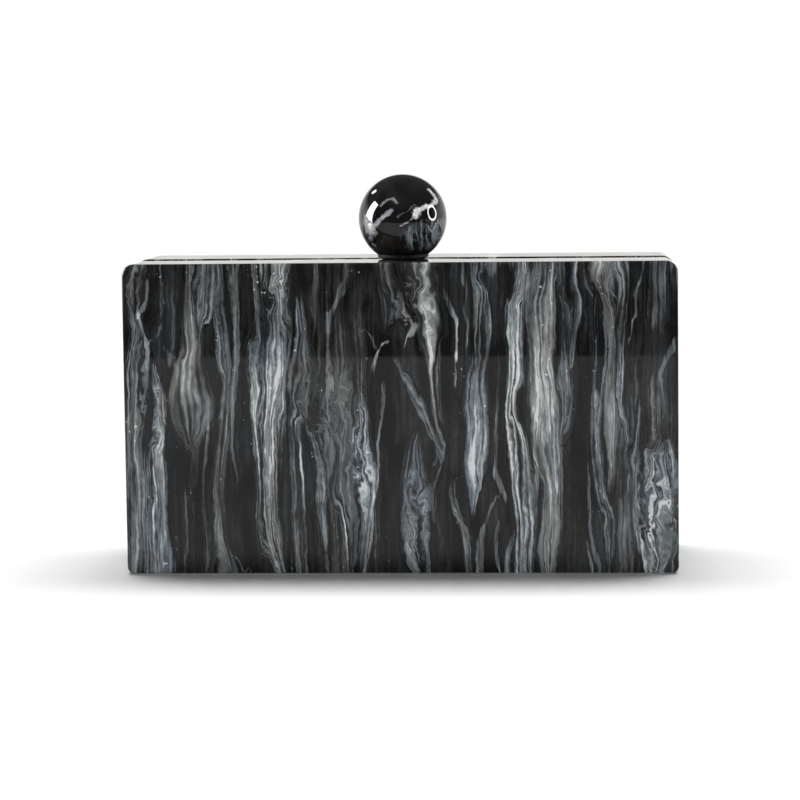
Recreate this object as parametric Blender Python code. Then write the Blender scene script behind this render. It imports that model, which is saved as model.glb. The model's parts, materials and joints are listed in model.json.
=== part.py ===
"""A hard box clutch purse with a ball clasp, as an assembly of separate pieces.

The purse is two shallow shells of marbled acrylic that meet at a seam in the middle of its depth. Two butt
hinges, set in a groove under the seam, let the front shell swing forward and down. On top, a round knob is
screwed to a rocking lever inside the rear shell. The lever's tooth drops behind the lip of a strike in the
front shell, and pushing the knob back lifts it out.

Frame: metres, +X to the right, -Y is the front, +Z up. The origin is on the ground under the middle.
"""

import math

import bmesh
import bpy
from mathutils import Matrix, Vector

MM = 0.001

# Driving dimensions of the shells.
WIDTH = 200 * MM
DEPTH = 50 * MM
HEIGHT = 113 * MM
TOP_CORNER_RADIUS = 4.2 * MM
BOTTOM_CORNER_RADIUS = 2.6 * MM
INNER_CORNER_RADIUS = 0.6 * MM
CORNER_STEPS = 8
PANEL_THICKNESS = 3 * MM
PANEL_EDGE = 1.2 * MM
WALL = 4 * MM
SEAM = 0.6 * MM
SEAM_CHAMFER = 0.7 * MM
FRONT_DROP = 0.25 * MM
FIT = 0.3 * MM
LINING_THICKNESS = 1.5 * MM

# The hinge line runs along X, in a V-shaped groove that opens downwards.
HINGE_AXIS_Z = 2.0 * MM
GROOVE_HALF_ANGLE = math.radians(51)
HINGE_X = 62 * MM
HINGE_LENGTH = 32 * MM
KNUCKLES = 5
KNUCKLE_RADIUS = 1.7 * MM
KNUCKLE_BORE = 1.0 * MM
HINGE_PIN_RADIUS = 0.8 * MM
LEAF_THICKNESS = 0.8 * MM
LEAF_REACH = 11 * MM
LEAF_SCREW_Y = 6.5 * MM
LEAF_SCREW_SPACING = 12 * MM

# Every small screw is the same one. Its length is measured under the head.
SCREW_HEAD_RADIUS = 1.5 * MM
SCREW_HEAD_HEIGHT = 0.8 * MM
SCREW_RADIUS = 0.8 * MM
SCREW_LENGTH = 4.4 * MM
SCREW_HOLE_RADIUS = 1.1 * MM
SCREW_HOLE_DEPTH = 3.3 * MM
RECESS_WIDTH = 0.36 * MM
RECESS_LENGTH = 1.8 * MM
RECESS_DEPTH = 0.4 * MM

# The clasp. Its pivot lies behind the knob, so that the knob's flat foot rises as it tilts.
KNOB_RADIUS = 16.35 * MM
KNOB_FOOT_DROP = 13.25 * MM
KNOB_CLEARANCE = 0.3 * MM
KNOB_HOLE_DEPTH = 8.6 * MM
STUD_RADIUS = 2.0 * MM
STUD_HOLE_RADIUS = 2.3 * MM
STUD_HEAD_RADIUS = 3.5 * MM
STUD_HEAD_HEIGHT = 1.3 * MM
SPACER_RADIUS = 3.0 * MM
COLLAR_RADIUS = 9.4 * MM
COLLAR_THICKNESS = 0.8 * MM
COLLAR_EDGE = 0.25 * MM
NOTCH_RADIUS = 3.6 * MM
NOTCH_TRAVEL = 1.6 * MM
PIVOT_Y = 9.0 * MM
PIVOT_Z = HEIGHT - 8.4 * MM
PIVOT_RADIUS = 1.0 * MM
PIVOT_HOLE_RADIUS = 1.25 * MM
PLATE = 0.8 * MM
EAR_X = 7.2 * MM
LEVER_HALF_WIDTH = 5.0 * MM
LEVER_HALF_THICKNESS = 0.8 * MM
LEVER_BARREL_RADIUS = 2.1 * MM
SPRING_WIRE = 0.25 * MM
SPRING_RADIUS = 1.75 * MM
SPRING_TURNS = 4
SPRING_PITCH = 0.6 * MM
SPRING_X = 3.75 * MM

# The chain anchors, one on each side wall of the rear shell.
ANCHOR_Y = 12 * MM
ANCHOR_Z = 84 * MM
ANCHOR_WIDTH = 6 * MM
ANCHOR_HEIGHT = 11 * MM
RING_WIRE = 0.7 * MM
RING_HALF_WIDTH = 5 * MM
RING_CORNER = 1.5 * MM
RING_CLEARANCE = 2 * MM

CEILING = HEIGHT - WALL
LEAF_BOTTOM = WALL + FIT
LEAF_TOP = LEAF_BOTTOM + LEAF_THICKNESS
PLATE_TOP = CEILING - FIT
PLATE_BOTTOM = PLATE_TOP - PLATE
COLLAR_BOTTOM = HEIGHT + KNOB_CLEARANCE
COLLAR_TOP = COLLAR_BOTTOM + COLLAR_THICKNESS
KNOB_FOOT_Z = COLLAR_TOP + FIT
KNOB_CENTRE_Z = KNOB_FOOT_Z + KNOB_FOOT_DROP

REAR, FRONT = 1, -1
SIDE_NAMES = {REAR: "rear", FRONT: "front"}
HAND_NAMES = {-1: "left", 1: "right"}


# ---- small modelling tools ----


def clear_scene():
    for obj in list(bpy.data.objects):
        bpy.data.objects.remove(obj, do_unlink=True)


def material(name, colour, roughness, metallic=0.0):
    made = bpy.data.materials.new(name)
    made.use_nodes = True
    shader = made.node_tree.nodes["Principled BSDF"]
    shader.inputs["Base Color"].default_value = (*colour, 1.0)
    shader.inputs["Roughness"].default_value = roughness
    shader.inputs["Metallic"].default_value = metallic
    return made


def finish_mesh(name, bm, look):
    """Closes a bmesh into a named object with its faces pointing out."""
    bmesh.ops.remove_doubles(bm, verts=bm.verts, dist=1e-7)
    bmesh.ops.recalc_face_normals(bm, faces=bm.faces)
    mesh = bpy.data.meshes.new(name)
    bm.to_mesh(mesh)
    bm.free()
    if look:
        mesh.materials.append(look)
    mesh.shade_smooth()
    mesh.set_sharp_from_angle(angle=math.radians(30))
    obj = bpy.data.objects.new(name, mesh)
    bpy.context.scene.collection.objects.link(obj)
    return obj


def loft(name, rings, look, closed=False):
    """Skins rings of equal length. A closed loft joins its last ring to its first; an open one is capped."""
    bm = bmesh.new()
    loops = [[bm.verts.new(point) for point in ring] for ring in rings]
    pairs = list(zip(loops, loops[1:]))
    if closed:
        pairs.append((loops[-1], loops[0]))
    for near, far in pairs:
        for i in range(len(near)):
            j = (i + 1) % len(near)
            bm.faces.new((near[i], near[j], far[j], far[i]))
    if not closed:
        bm.faces.new(loops[0])
        bm.faces.new(loops[-1])
    return finish_mesh(name, bm, look)


def place(axis, a, b, along):
    """A point of a flat outline, put in space: the outline of an X extrusion is (y, z), and so on."""
    return {"X": (along, a, b), "Y": (a, along, b), "Z": (a, b, along)}[axis]


def extrude(name, outline, axis, low, high, look):
    rings = [[place(axis, a, b, along) for a, b in outline] for along in (low, high)]
    return loft(name, rings, look)


def arc(a, b, radius, start, end, steps):
    """Points on a circle about (a, b), from one angle to another, in degrees."""
    angles = [math.radians(start + (end - start) * i / steps) for i in range(steps + 1)]
    return [(a + radius * math.cos(t), b + radius * math.sin(t)) for t in angles]


def circle(a, b, radius, steps):
    return arc(a, b, radius, 0, 360, steps)[:-1]


def rectangle(a_low, a_high, b_low, b_high):
    return [(a_low, b_low), (a_high, b_low), (a_high, b_high), (a_low, b_high)]


def lathe(name, profile, steps, look):
    """Turns a profile of (radius, z) about the Z axis. Points of no radius are on the axis."""
    bm = bmesh.new()
    verts = [bm.verts.new((radius, 0, z)) for radius, z in profile]
    edges = [bm.edges.new(pair) for pair in zip(verts, verts[1:])]
    bmesh.ops.spin(
        bm,
        geom=verts + edges,
        cent=(0, 0, 0),
        axis=(0, 0, 1),
        angle=math.tau,
        steps=steps,
        use_merge=True,
    )
    return finish_mesh(name, bm, look)


def boolean(obj, other, operation):
    modifier = obj.modifiers.new(operation.lower(), "BOOLEAN")
    modifier.operation = operation
    modifier.object = other
    modifier.solver = "EXACT"
    other.hide_render = True
    other.display_type = "WIRE"


def cut(obj, *cutters):
    for cutter in cutters:
        boolean(obj, cutter, "DIFFERENCE")


def join(obj, *others):
    for other in others:
        boolean(obj, other, "UNION")


def baked_mesh(obj):
    """The object's mesh with its modifiers applied, for pieces that share one shape."""
    graph = bpy.context.evaluated_depsgraph_get()
    mesh = bpy.data.meshes.new_from_object(obj.evaluated_get(graph))
    bpy.data.objects.remove(obj, do_unlink=True)
    return mesh


def pivot(name, location):
    empty = bpy.data.objects.new(name, None)
    empty.location = location
    bpy.context.scene.collection.objects.link(empty)
    bpy.context.view_layer.update()
    return empty


def attach(parent, *objs):
    """Hangs pieces modelled in the purse's frame on an empty, with their origins at that empty."""
    for obj in objs:
        obj.data.transform(Matrix.Translation(-parent.location))
        obj.parent = parent


# ---- shells ----


def shell_ring(inset, y):
    """The purse's rounded outline, drawn in by an inset, in the plane at depth y.

    The front shell's top stands a little lower than the rear one's, so that it never catches on it.
    """
    points = []
    drop = FRONT_DROP if y < 0 and inset < WALL else 0
    for across, up, start in ((1, 1, 0), (-1, 1, 90), (-1, -1, 180), (1, -1, 270)):
        outer = TOP_CORNER_RADIUS if up > 0 else BOTTOM_CORNER_RADIUS
        radius = max(outer - inset, INNER_CORNER_RADIUS)
        x = across * (WIDTH / 2 - inset - radius)
        z = HEIGHT - drop - inset - radius if up > 0 else inset + radius
        points += arc(x, z, radius, start, start + 90, CORNER_STEPS)
    return [(px, y, pz) for px, pz in points]


def make_panel(side, look):
    """The flat face of one shell. Its outer edge is rounded over."""
    back, face, edge_steps = DEPTH / 2 - PANEL_THICKNESS, DEPTH / 2, 4
    rings = [shell_ring(0, side * back)]
    for i in range(edge_steps + 1):
        turn = math.radians(90 * i / edge_steps)
        inset = PANEL_EDGE * (1 - math.cos(turn))
        y = face - PANEL_EDGE * (1 - math.sin(turn))
        rings.append(shell_ring(inset, side * y))
    return loft(f"{SIDE_NAMES[side]}_panel", rings, look)


def make_rim(side, look):
    """The wall that runs round one shell, from its panel to the seam."""
    glued, seam = DEPTH / 2 - PANEL_THICKNESS - FIT, SEAM / 2
    section = (
        (0, glued),
        (0, seam + SEAM_CHAMFER),
        (SEAM_CHAMFER, seam),
        (WALL, seam),
        (WALL, glued),
    )
    rings = [shell_ring(inset, side * y) for inset, y in section]
    return loft(f"{SIDE_NAMES[side]}_rim", rings, look, closed=True)


def make_lining(side, look):
    """A fabric-covered board behind the panel."""
    back = DEPTH / 2 - PANEL_THICKNESS - FIT
    front, margin, soft = back - LINING_THICKNESS, WALL + 0.4 * MM, 0.4 * MM
    section = ((margin, back), (margin, front + soft), (margin + soft, front))
    rings = [shell_ring(inset, side * y) for inset, y in section]
    return loft(f"{SIDE_NAMES[side]}_lining", rings, look)


def groove_cutter():
    """The V under the seam. Its two sides come almost together when the purse is fully open."""
    below = 1 * MM
    half = (HINGE_AXIS_Z + below) * math.tan(GROOVE_HALF_ANGLE)
    outline = [(0, HINGE_AXIS_Z), (-half, -below), (half, -below)]
    return extrude("groove_cutter", outline, "X", -WIDTH, WIDTH, None)


def keyhole(radius, left, right, top, steps=20):
    """A circle about the hinge line with a straight neck from y = left to y = right, up to z = top."""
    start = math.degrees(math.acos(left / radius))
    end = math.degrees(math.acos(right / radius)) + 360
    points = arc(0, HINGE_AXIS_Z, radius, start, end, steps)
    return [*points, (right, top), (left, top)]


def pocket_cutter(hand):
    """Room in both rims for one hinge's knuckles and for its leaves where they pass the seam."""
    radius, neck = KNUCKLE_RADIUS + 0.4 * MM, 0.15 * MM + LEAF_THICKNESS + FIT
    half = HINGE_LENGTH / 2 + FIT
    outline = keyhole(radius, -neck, neck, WALL + 1 * MM)
    x = hand * HINGE_X
    return extrude(f"pocket_cutter_{hand}", outline, "X", x - half, x + half, None)


def notch_cutter():
    """The slot in the top walls that the knob's spacer rocks in, hidden under the knob's foot."""
    outline = arc(0, NOTCH_TRAVEL, NOTCH_RADIUS, 0, 180, 10)
    outline += arc(0, 0, NOTCH_RADIUS, 180, 360, 10)
    return extrude("notch_cutter", outline, "Z", CEILING - 1 * MM, HEIGHT + 1 * MM, None)


# ---- screws ----


def screw_mesh(look):
    """A small round-headed wood screw with a cross recess, along Z, with its head's seat at the origin."""
    head = arc(0, 0, 1, 25, 90, 3)
    dome_base = SCREW_HEAD_HEIGHT * 0.3
    profile = [(0, -SCREW_LENGTH), (SCREW_RADIUS * 0.45, -SCREW_LENGTH)]
    profile += [(SCREW_RADIUS, -SCREW_LENGTH + 1.0 * MM), (SCREW_RADIUS, 0), (SCREW_HEAD_RADIUS, 0)]
    profile += [
        (SCREW_HEAD_RADIUS * a, dome_base + (SCREW_HEAD_HEIGHT - dome_base) * b)
        for a, b in head[:-1]
    ]
    profile.append((0, SCREW_HEAD_HEIGHT))
    screw = lathe("screw_shape", profile, 12, look)
    low, high = SCREW_HEAD_HEIGHT - RECESS_DEPTH, SCREW_HEAD_HEIGHT + 1 * MM
    long, short = RECESS_LENGTH / 2, RECESS_WIDTH / 2
    cross = [(long, -short), (long, short), (short, short), (short, long)]
    cross += [(-short, long), (-short, short), (-long, short), (-long, -short)]
    cross += [(-short, -short), (-short, -long), (short, -long), (short, -short)]
    recess = extrude("recess_cutter", cross, "Z", low, high, None)
    cut(screw, recess)
    mesh = baked_mesh(screw)
    bpy.data.objects.remove(recess, do_unlink=True)
    return mesh


def place_screw(name, mesh, seat, pointing, parent):
    """Sets a screw with its head's seat at a point, driven in the direction given."""
    obj = bpy.data.objects.new(name, mesh)
    obj.parent = parent
    obj.location = Vector(seat) - parent.location
    obj.rotation_mode = "QUATERNION"
    obj.rotation_quaternion = (-Vector(pointing)).to_track_quat("Z", "Y")
    bpy.context.scene.collection.objects.link(obj)
    return obj


def hole_cutter(name, start, direction, length, radius=SCREW_HOLE_RADIUS, steps=12):
    """A round cutter from a point, along one of the main axes."""
    axis = "XYZ"[max(range(3), key=lambda i: abs(direction[i]))]
    index = "XYZ".index(axis)
    a, b = (start[i] for i in range(3) if i != index)
    ends = sorted((start[index], start[index] + direction[index] * length))
    return extrude(name, circle(a, b, radius, steps), axis, *ends, None)


# ---- hinges ----


def leaf_outline(side):
    """A leaf's section: it lies on the inside of the bottom wall and turns down at the seam."""
    inner, outer = 0.15 * MM, 0.15 * MM + LEAF_THICKNESS
    clear_of_knuckle = HINGE_AXIS_Z + KNUCKLE_RADIUS + 0.35 * MM
    bend = arc(outer, LEAF_TOP - LEAF_THICKNESS, LEAF_THICKNESS, 180, 90, 4)
    points = [(outer, clear_of_knuckle), (outer, LEAF_BOTTOM), (LEAF_REACH, LEAF_BOTTOM)]
    points += [(LEAF_REACH, LEAF_TOP), *reversed(bend), (inner, clear_of_knuckle)]
    return [(side * y, z) for y, z in points]


def make_leaf(hand, side, look):
    """One leaf of a butt hinge, with its share of the knuckles."""
    name = f"hinge_{HAND_NAMES[hand]}_{SIDE_NAMES[side]}_leaf"
    centre, half = hand * HINGE_X, HINGE_LENGTH / 2
    leaf = extrude(name, leaf_outline(side), "X", centre - half, centre + half, look)
    near, far = 0.2 * MM, 0.1 * MM + LEAF_THICKNESS
    neck = sorted((side * near, side * far))
    outline = keyhole(KNUCKLE_RADIUS, *neck, LEAF_TOP - 0.3 * MM)
    pitch = HINGE_LENGTH / KNUCKLES
    first = 0 if side == REAR else 1
    for k in range(first, KNUCKLES, 2):
        low = centre - half + k * pitch + FIT / 2
        high = low + pitch - FIT
        join(leaf, extrude(f"{name}_knuckle_{k}", outline, "X", low, high, look))
    bore_start = (centre - half - 1 * MM, 0, HINGE_AXIS_Z)
    bore_length = HINGE_LENGTH + 2 * MM
    bore = hole_cutter(f"{name}_bore", bore_start, (1, 0, 0), bore_length, KNUCKLE_BORE, 16)
    cut(leaf, bore)
    for k in (-1, 0, 1):
        start = (centre + k * LEAF_SCREW_SPACING, side * LEAF_SCREW_Y, LEAF_BOTTOM - 1 * MM)
        cut(leaf, hole_cutter(f"{name}_hole_{k}", start, (0, 0, 1), 4 * MM))
    return leaf


def make_hinge_pin(hand, look):
    name = f"hinge_{HAND_NAMES[hand]}_pin"
    half = HINGE_LENGTH / 2
    outline = circle(0, HINGE_AXIS_Z, HINGE_PIN_RADIUS, 12)
    return extrude(name, outline, "X", hand * HINGE_X - half, hand * HINGE_X + half, look)


# ---- clasp ----


def make_knob(look):
    """A ball with a flat foot and a blind hole for its stud."""
    foot_radius = math.sqrt(KNOB_RADIUS**2 - KNOB_FOOT_DROP**2)
    foot_angle = -math.degrees(math.acos(foot_radius / KNOB_RADIUS))
    hole_top = KNOB_FOOT_Z + KNOB_HOLE_DEPTH
    profile = [(0, hole_top), (STUD_HOLE_RADIUS, hole_top), (STUD_HOLE_RADIUS, KNOB_FOOT_Z)]
    profile += arc(0, KNOB_CENTRE_Z, KNOB_RADIUS, foot_angle, 90, 20)[:-1]
    profile.append((0, KNOB_CENTRE_Z + KNOB_RADIUS))
    return lathe("ball_knob", profile, 40, look)


def make_stud(look):
    """The machine screw that holds the knob, its spacer and the lever together."""
    seat = PIVOT_Z - LEVER_HALF_THICKNESS - FIT
    top = KNOB_FOOT_Z + KNOB_HOLE_DEPTH - 0.5 * MM
    profile = [(0, seat - STUD_HEAD_HEIGHT), (STUD_HEAD_RADIUS * 0.8, seat - STUD_HEAD_HEIGHT)]
    profile += [(STUD_HEAD_RADIUS, seat - STUD_HEAD_HEIGHT * 0.6), (STUD_HEAD_RADIUS, seat)]
    profile += [(STUD_RADIUS, seat), (STUD_RADIUS, top - 0.5 * MM), (STUD_RADIUS * 0.7, top), (0, top)]
    return lathe("knob_stud", profile, 16, look)


def make_spacer(look):
    """The sleeve that passes through the notch, with a flat collar on top that the knob sits on."""
    low = PIVOT_Z + LEVER_HALF_THICKNESS + FIT
    section = (
        (SPACER_RADIUS, low),
        (SPACER_RADIUS, COLLAR_BOTTOM),
        (COLLAR_RADIUS - COLLAR_EDGE, COLLAR_BOTTOM),
        (COLLAR_RADIUS, COLLAR_BOTTOM + COLLAR_EDGE),
        (COLLAR_RADIUS, COLLAR_TOP),
        (STUD_HOLE_RADIUS, COLLAR_TOP),
        (STUD_HOLE_RADIUS, low),
    )
    rings = [[(x, y, z) for x, y in circle(0, 0, radius, 40)] for radius, z in section]
    return loft("knob_spacer", rings, look, closed=True)


def make_lever(look):
    """The rocking lever: a barrel on the pivot, an arm under the top walls and a tooth at its front end."""
    low, high = PIVOT_Z - LEVER_HALF_THICKNESS, PIVOT_Z + LEVER_HALF_THICKNESS
    tooth_back, nose = -6.6 * MM, -8.8 * MM
    tooth_tip = low - 2.2 * MM
    outline = [(PIVOT_Y, low), (tooth_back, low), (tooth_back, tooth_tip)]
    outline += [(tooth_back - 0.5 * MM, tooth_tip), (nose, low), (nose, high - 0.4 * MM)]
    outline += [(nose + 0.4 * MM, high), (PIVOT_Y, high)]
    lever = extrude("clasp_lever", outline, "X", -LEVER_HALF_WIDTH, LEVER_HALF_WIDTH, look)
    gap_low, barrel_low = SPRING_X - 0.5 * MM, -EAR_X + 0.5 * MM
    gap = rectangle(PIVOT_Y - 2.8 * MM, PIVOT_Y + 4 * MM, low - 1 * MM, high + 1 * MM)
    cut(lever, extrude("spring_gap_cutter", gap, "X", gap_low, LEVER_HALF_WIDTH + 1 * MM, None))
    round_barrel = circle(PIVOT_Y, PIVOT_Z, LEVER_BARREL_RADIUS, 20)
    join(lever, extrude("lever_barrel", round_barrel, "X", barrel_low, gap_low - 0.05 * MM, look))
    bore_start = (-10 * MM, PIVOT_Y, PIVOT_Z)
    cut(lever, hole_cutter("lever_bore", bore_start, (1, 0, 0), 20 * MM, PIVOT_HOLE_RADIUS, 16))
    stud_start = (0, 0, low - 1 * MM)
    cut(lever, hole_cutter("lever_stud_hole", stud_start, (0, 0, 1), 4 * MM, STUD_HOLE_RADIUS, 16))
    return lever


def make_pivot_pin(look):
    """The lever's pin, upset at both ends outside the bracket's ears."""
    inner, outer = EAR_X + PLATE + FIT, EAR_X + PLATE + FIT + 0.6 * MM
    head = PIVOT_RADIUS * 1.7
    stations = ((head, -outer), (head, -inner), (PIVOT_RADIUS, -inner))
    stations += tuple((radius, -x) for radius, x in reversed(stations))
    rings = [
        [(x, y, z) for y, z in circle(PIVOT_Y, PIVOT_Z, radius, 14)] for radius, x in stations
    ]
    return loft("clasp_pivot_pin", rings, look)


def make_bracket(look):
    """The clevis that carries the pivot: a plate screwed under the rear top wall, with two ears."""
    half, front, back = EAR_X + PLATE, 5.4 * MM, 18 * MM
    plate = rectangle(front, back, PLATE_BOTTOM, PLATE_TOP)
    bracket = extrude("clasp_bracket", plate, "X", -half, half, look)
    ear_radius = 2.4 * MM
    ear = arc(PIVOT_Y, PIVOT_Z, ear_radius, 180, 360, 8)
    ear += [(PIVOT_Y + ear_radius + 1.2 * MM, PLATE_TOP - FIT), (front + 0.4 * MM, PLATE_TOP - FIT)]
    for hand in (-1, 1):
        ends = sorted((hand * EAR_X, hand * (EAR_X + PLATE * 0.96)))
        join(bracket, extrude(f"bracket_ear_{hand}", ear, "X", *ends, look))
    bore_start = (-10 * MM, PIVOT_Y, PIVOT_Z)
    cut(bracket, hole_cutter("bracket_bore", bore_start, (1, 0, 0), 20 * MM, PIVOT_HOLE_RADIUS, 16))
    for x, y in clasp_screw_places(REAR):
        start = (x, y, PLATE_BOTTOM - 1 * MM)
        cut(bracket, hole_cutter(f"bracket_hole_{x:.4f}", start, (0, 0, 1), 4 * MM))
    return bracket


def make_strike(look):
    """The catch in the front shell: a plate that hangs down, turns back under the tooth and ends in a lip."""
    flange_end, riser, lip, half = -19.6 * MM, -13.8 * MM, -5.5 * MM, 6 * MM
    floor, lip_top = 98.6 * MM, 102.0 * MM
    outline = [(flange_end, PLATE_TOP), (flange_end, PLATE_BOTTOM), (riser, PLATE_BOTTOM)]
    outline += [(riser, floor), (lip, floor), (lip, lip_top), (lip - PLATE, lip_top)]
    outline += [(lip - PLATE, floor + PLATE), (riser + PLATE, floor + PLATE), (riser + PLATE, PLATE_TOP)]
    strike = extrude("clasp_strike", outline, "X", -half, half, look)
    for x, y in clasp_screw_places(FRONT):
        start = (x, y, PLATE_BOTTOM - 1 * MM)
        cut(strike, hole_cutter(f"strike_hole_{x:.4f}", start, (0, 0, 1), 4 * MM))
    return strike


def clasp_screw_places(side):
    """Where the screws of the bracket, or of the strike, go up into the top wall."""
    x, y = (4.5 * MM, 15 * MM) if side == REAR else (3.4 * MM, 16.6 * MM)
    return [(hand * x, side * y) for hand in (-1, 1)]


def make_spring(look):
    """The torsion spring on the pivot. One leg presses the lever down and the other bears on the bracket."""
    steps_per_turn, turns = 12, SPRING_TURNS + 0.25
    rest_on_lever = PIVOT_Z + LEVER_HALF_THICKNESS + FIT + SPRING_WIRE
    points = [(SPRING_X, 3.0 * MM, rest_on_lever)]
    points.append((SPRING_X, 6.5 * MM, rest_on_lever + 0.25 * MM))
    steps = int(steps_per_turn * turns)
    for i in range(steps + 1):
        turn = math.tau * i / steps_per_turn
        y = PIVOT_Y + SPRING_RADIUS * math.sin(turn)
        z = PIVOT_Z + SPRING_RADIUS * math.cos(turn)
        points.append((SPRING_X + SPRING_PITCH * i / steps_per_turn, y, z))
    end_x = SPRING_X + SPRING_PITCH * turns
    points.append((end_x, PIVOT_Y + SPRING_RADIUS + 0.1 * MM, PLATE_BOTTOM - FIT - SPRING_WIRE))
    return wire("clasp_spring", points, SPRING_WIRE, look, cyclic=False, sides=2)


def wire(name, points, radius, look, cyclic, sides):
    """Round wire bent along points."""
    curve = bpy.data.curves.new(name, "CURVE")
    curve.dimensions = "3D"
    curve.bevel_depth = radius
    curve.bevel_resolution = sides
    curve.use_fill_caps = not cyclic
    curve.materials.append(look)
    spline = curve.splines.new("POLY")
    spline.points.add(len(points) - 1)
    for place_, point in zip(spline.points, points):
        place_.co = (*point, 1.0)
    spline.use_cyclic_u = cyclic
    spline.use_smooth = True
    obj = bpy.data.objects.new(name, curve)
    bpy.context.scene.collection.objects.link(obj)
    return obj


# ---- chain anchors ----


def anchor_x():
    """How far out the ring's bar lies: its barrel is tangent to the tab's inner face."""
    return WIDTH / 2 - WALL - FIT - PLATE - RING_WIRE - 0.2 * MM


def make_anchor_tab(hand, look):
    """A tab screwed to the side wall, rolled into a barrel at its lower end to hold the ring."""
    wall = WIDTH / 2 - WALL - FIT
    barrel = 1.75 * MM
    x = anchor_x()
    join_angle = math.degrees(math.asin((wall - PLATE - x) / barrel))
    outline = arc(x, ANCHOR_Z, barrel, 90 - join_angle, 360, 18)
    outline += [(x + barrel, ANCHOR_Z), (wall, ANCHOR_Z + 0.6 * MM), (wall, ANCHOR_Z + ANCHOR_HEIGHT)]
    outline += [(wall - PLATE, ANCHOR_Z + ANCHOR_HEIGHT)]
    outline = [(hand * a, b) for a, b in outline]
    low, high = ANCHOR_Y - ANCHOR_WIDTH / 2, ANCHOR_Y + ANCHOR_WIDTH / 2
    tab = extrude(f"chain_tab_{HAND_NAMES[hand]}", outline, "Y", low, high, look)
    bore_start = (hand * x, low - 1 * MM, ANCHOR_Z)
    bore = hole_cutter(f"tab_bore_{hand}", bore_start, (0, 1, 0), 8 * MM, RING_WIRE + 0.3 * MM, 14)
    screw_start = (hand * (wall - PLATE - 1 * MM), ANCHOR_Y, anchor_screw_z())
    cut(tab, bore, hole_cutter(f"tab_hole_{hand}", screw_start, (hand, 0, 0), 4 * MM))
    return tab


def anchor_screw_z():
    return ANCHOR_Z + ANCHOR_HEIGHT - 3.2 * MM


def make_ring(hand, look):
    """A D-shaped ring that hangs from its straight bar."""
    top, half = RING_CORNER, RING_HALF_WIDTH
    outline = arc(half - top, -top, top, 90, 0, 4)
    outline += arc(0, -RING_HALF_WIDTH - RING_CLEARANCE, half, 0, -180, 12)
    outline += arc(-half + top, -top, top, 180, 90, 4)
    points = [(hand * anchor_x(), ANCHOR_Y + y, ANCHOR_Z + z) for y, z in outline]
    return wire(f"chain_ring_{HAND_NAMES[hand]}", points, RING_WIRE, look, cyclic=True, sides=2)


# ---- assembly ----


def make_shells(looks, halves):
    """Panels, rims and linings, with the rims cut for the hinges, the clasp and the screws."""
    groove, notch = groove_cutter(), notch_cutter()
    pockets = [pocket_cutter(hand) for hand in (-1, 1)]
    rims = {}
    for side in (REAR, FRONT):
        panel = make_panel(side, looks["acrylic"])
        rim = make_rim(side, looks["acrylic"])
        lining = make_lining(side, looks["lining"])
        cut(rim, groove, notch, *pockets)
        attach(halves[side], panel, rim, lining)
        rims[side] = rim
    return rims


def fit_hinges(looks, halves, rims, screw):
    brass = looks["brass"]
    seat = LEAF_TOP + FIT
    for hand in (-1, 1):
        attach(halves[REAR], make_hinge_pin(hand, brass))
        for side in (REAR, FRONT):
            attach(halves[side], make_leaf(hand, side, brass))
            for k in (-1, 0, 1):
                x = hand * HINGE_X + k * LEAF_SCREW_SPACING
                y = side * LEAF_SCREW_Y
                name = f"hinge_{HAND_NAMES[hand]}_{SIDE_NAMES[side]}_screw_{k + 2}"
                place_screw(name, screw, (x, y, seat), (0, 0, -1), halves[side])
                start = (x, y, WALL + 1 * MM)
                depth = SCREW_HOLE_DEPTH + 1 * MM
                cut(rims[side], hole_cutter(f"{name}_hole", start, (0, 0, -1), depth))


def fit_clasp(looks, halves, rims, screw):
    brass, steel = looks["brass"], looks["steel"]
    clasp = pivot("clasp", (0, PIVOT_Y, PIVOT_Z))
    attach(clasp, make_knob(looks["acrylic"]), make_stud(steel), make_spacer(looks["acrylic"]))
    attach(clasp, make_lever(brass), make_spring(steel))
    attach(halves[REAR], make_bracket(brass), make_pivot_pin(steel))
    attach(halves[FRONT], make_strike(brass))
    seat = PLATE_BOTTOM - FIT
    for side, piece in ((REAR, "bracket"), (FRONT, "strike")):
        for x, y in clasp_screw_places(side):
            name = f"clasp_{piece}_screw_{HAND_NAMES[1 if x > 0 else -1]}"
            place_screw(name, screw, (x, y, seat), (0, 0, 1), halves[side])
            depth = SCREW_HOLE_DEPTH + 1 * MM
            cut(rims[side], hole_cutter(f"{name}_hole", (x, y, CEILING - 1 * MM), (0, 0, 1), depth))


def fit_chain_anchors(looks, halves, rims, screw):
    brass = looks["brass"]
    for hand in (-1, 1):
        attach(halves[REAR], make_anchor_tab(hand, brass))
        ring_pivot = pivot(f"ring_pivot_{HAND_NAMES[hand]}", (hand * anchor_x(), ANCHOR_Y, ANCHOR_Z))
        attach(ring_pivot, make_ring(hand, brass))
        seat = WIDTH / 2 - WALL - FIT - PLATE - FIT
        name = f"chain_tab_screw_{HAND_NAMES[hand]}"
        at = (hand * seat, ANCHOR_Y, anchor_screw_z())
        place_screw(name, screw, at, (hand, 0, 0), halves[REAR])
        start = (hand * (WIDTH / 2 - WALL - 1 * MM), ANCHOR_Y, anchor_screw_z())
        depth = SCREW_HOLE_DEPTH + 1 * MM
        cut(rims[REAR], hole_cutter(f"{name}_hole", start, (hand, 0, 0), depth))


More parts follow.
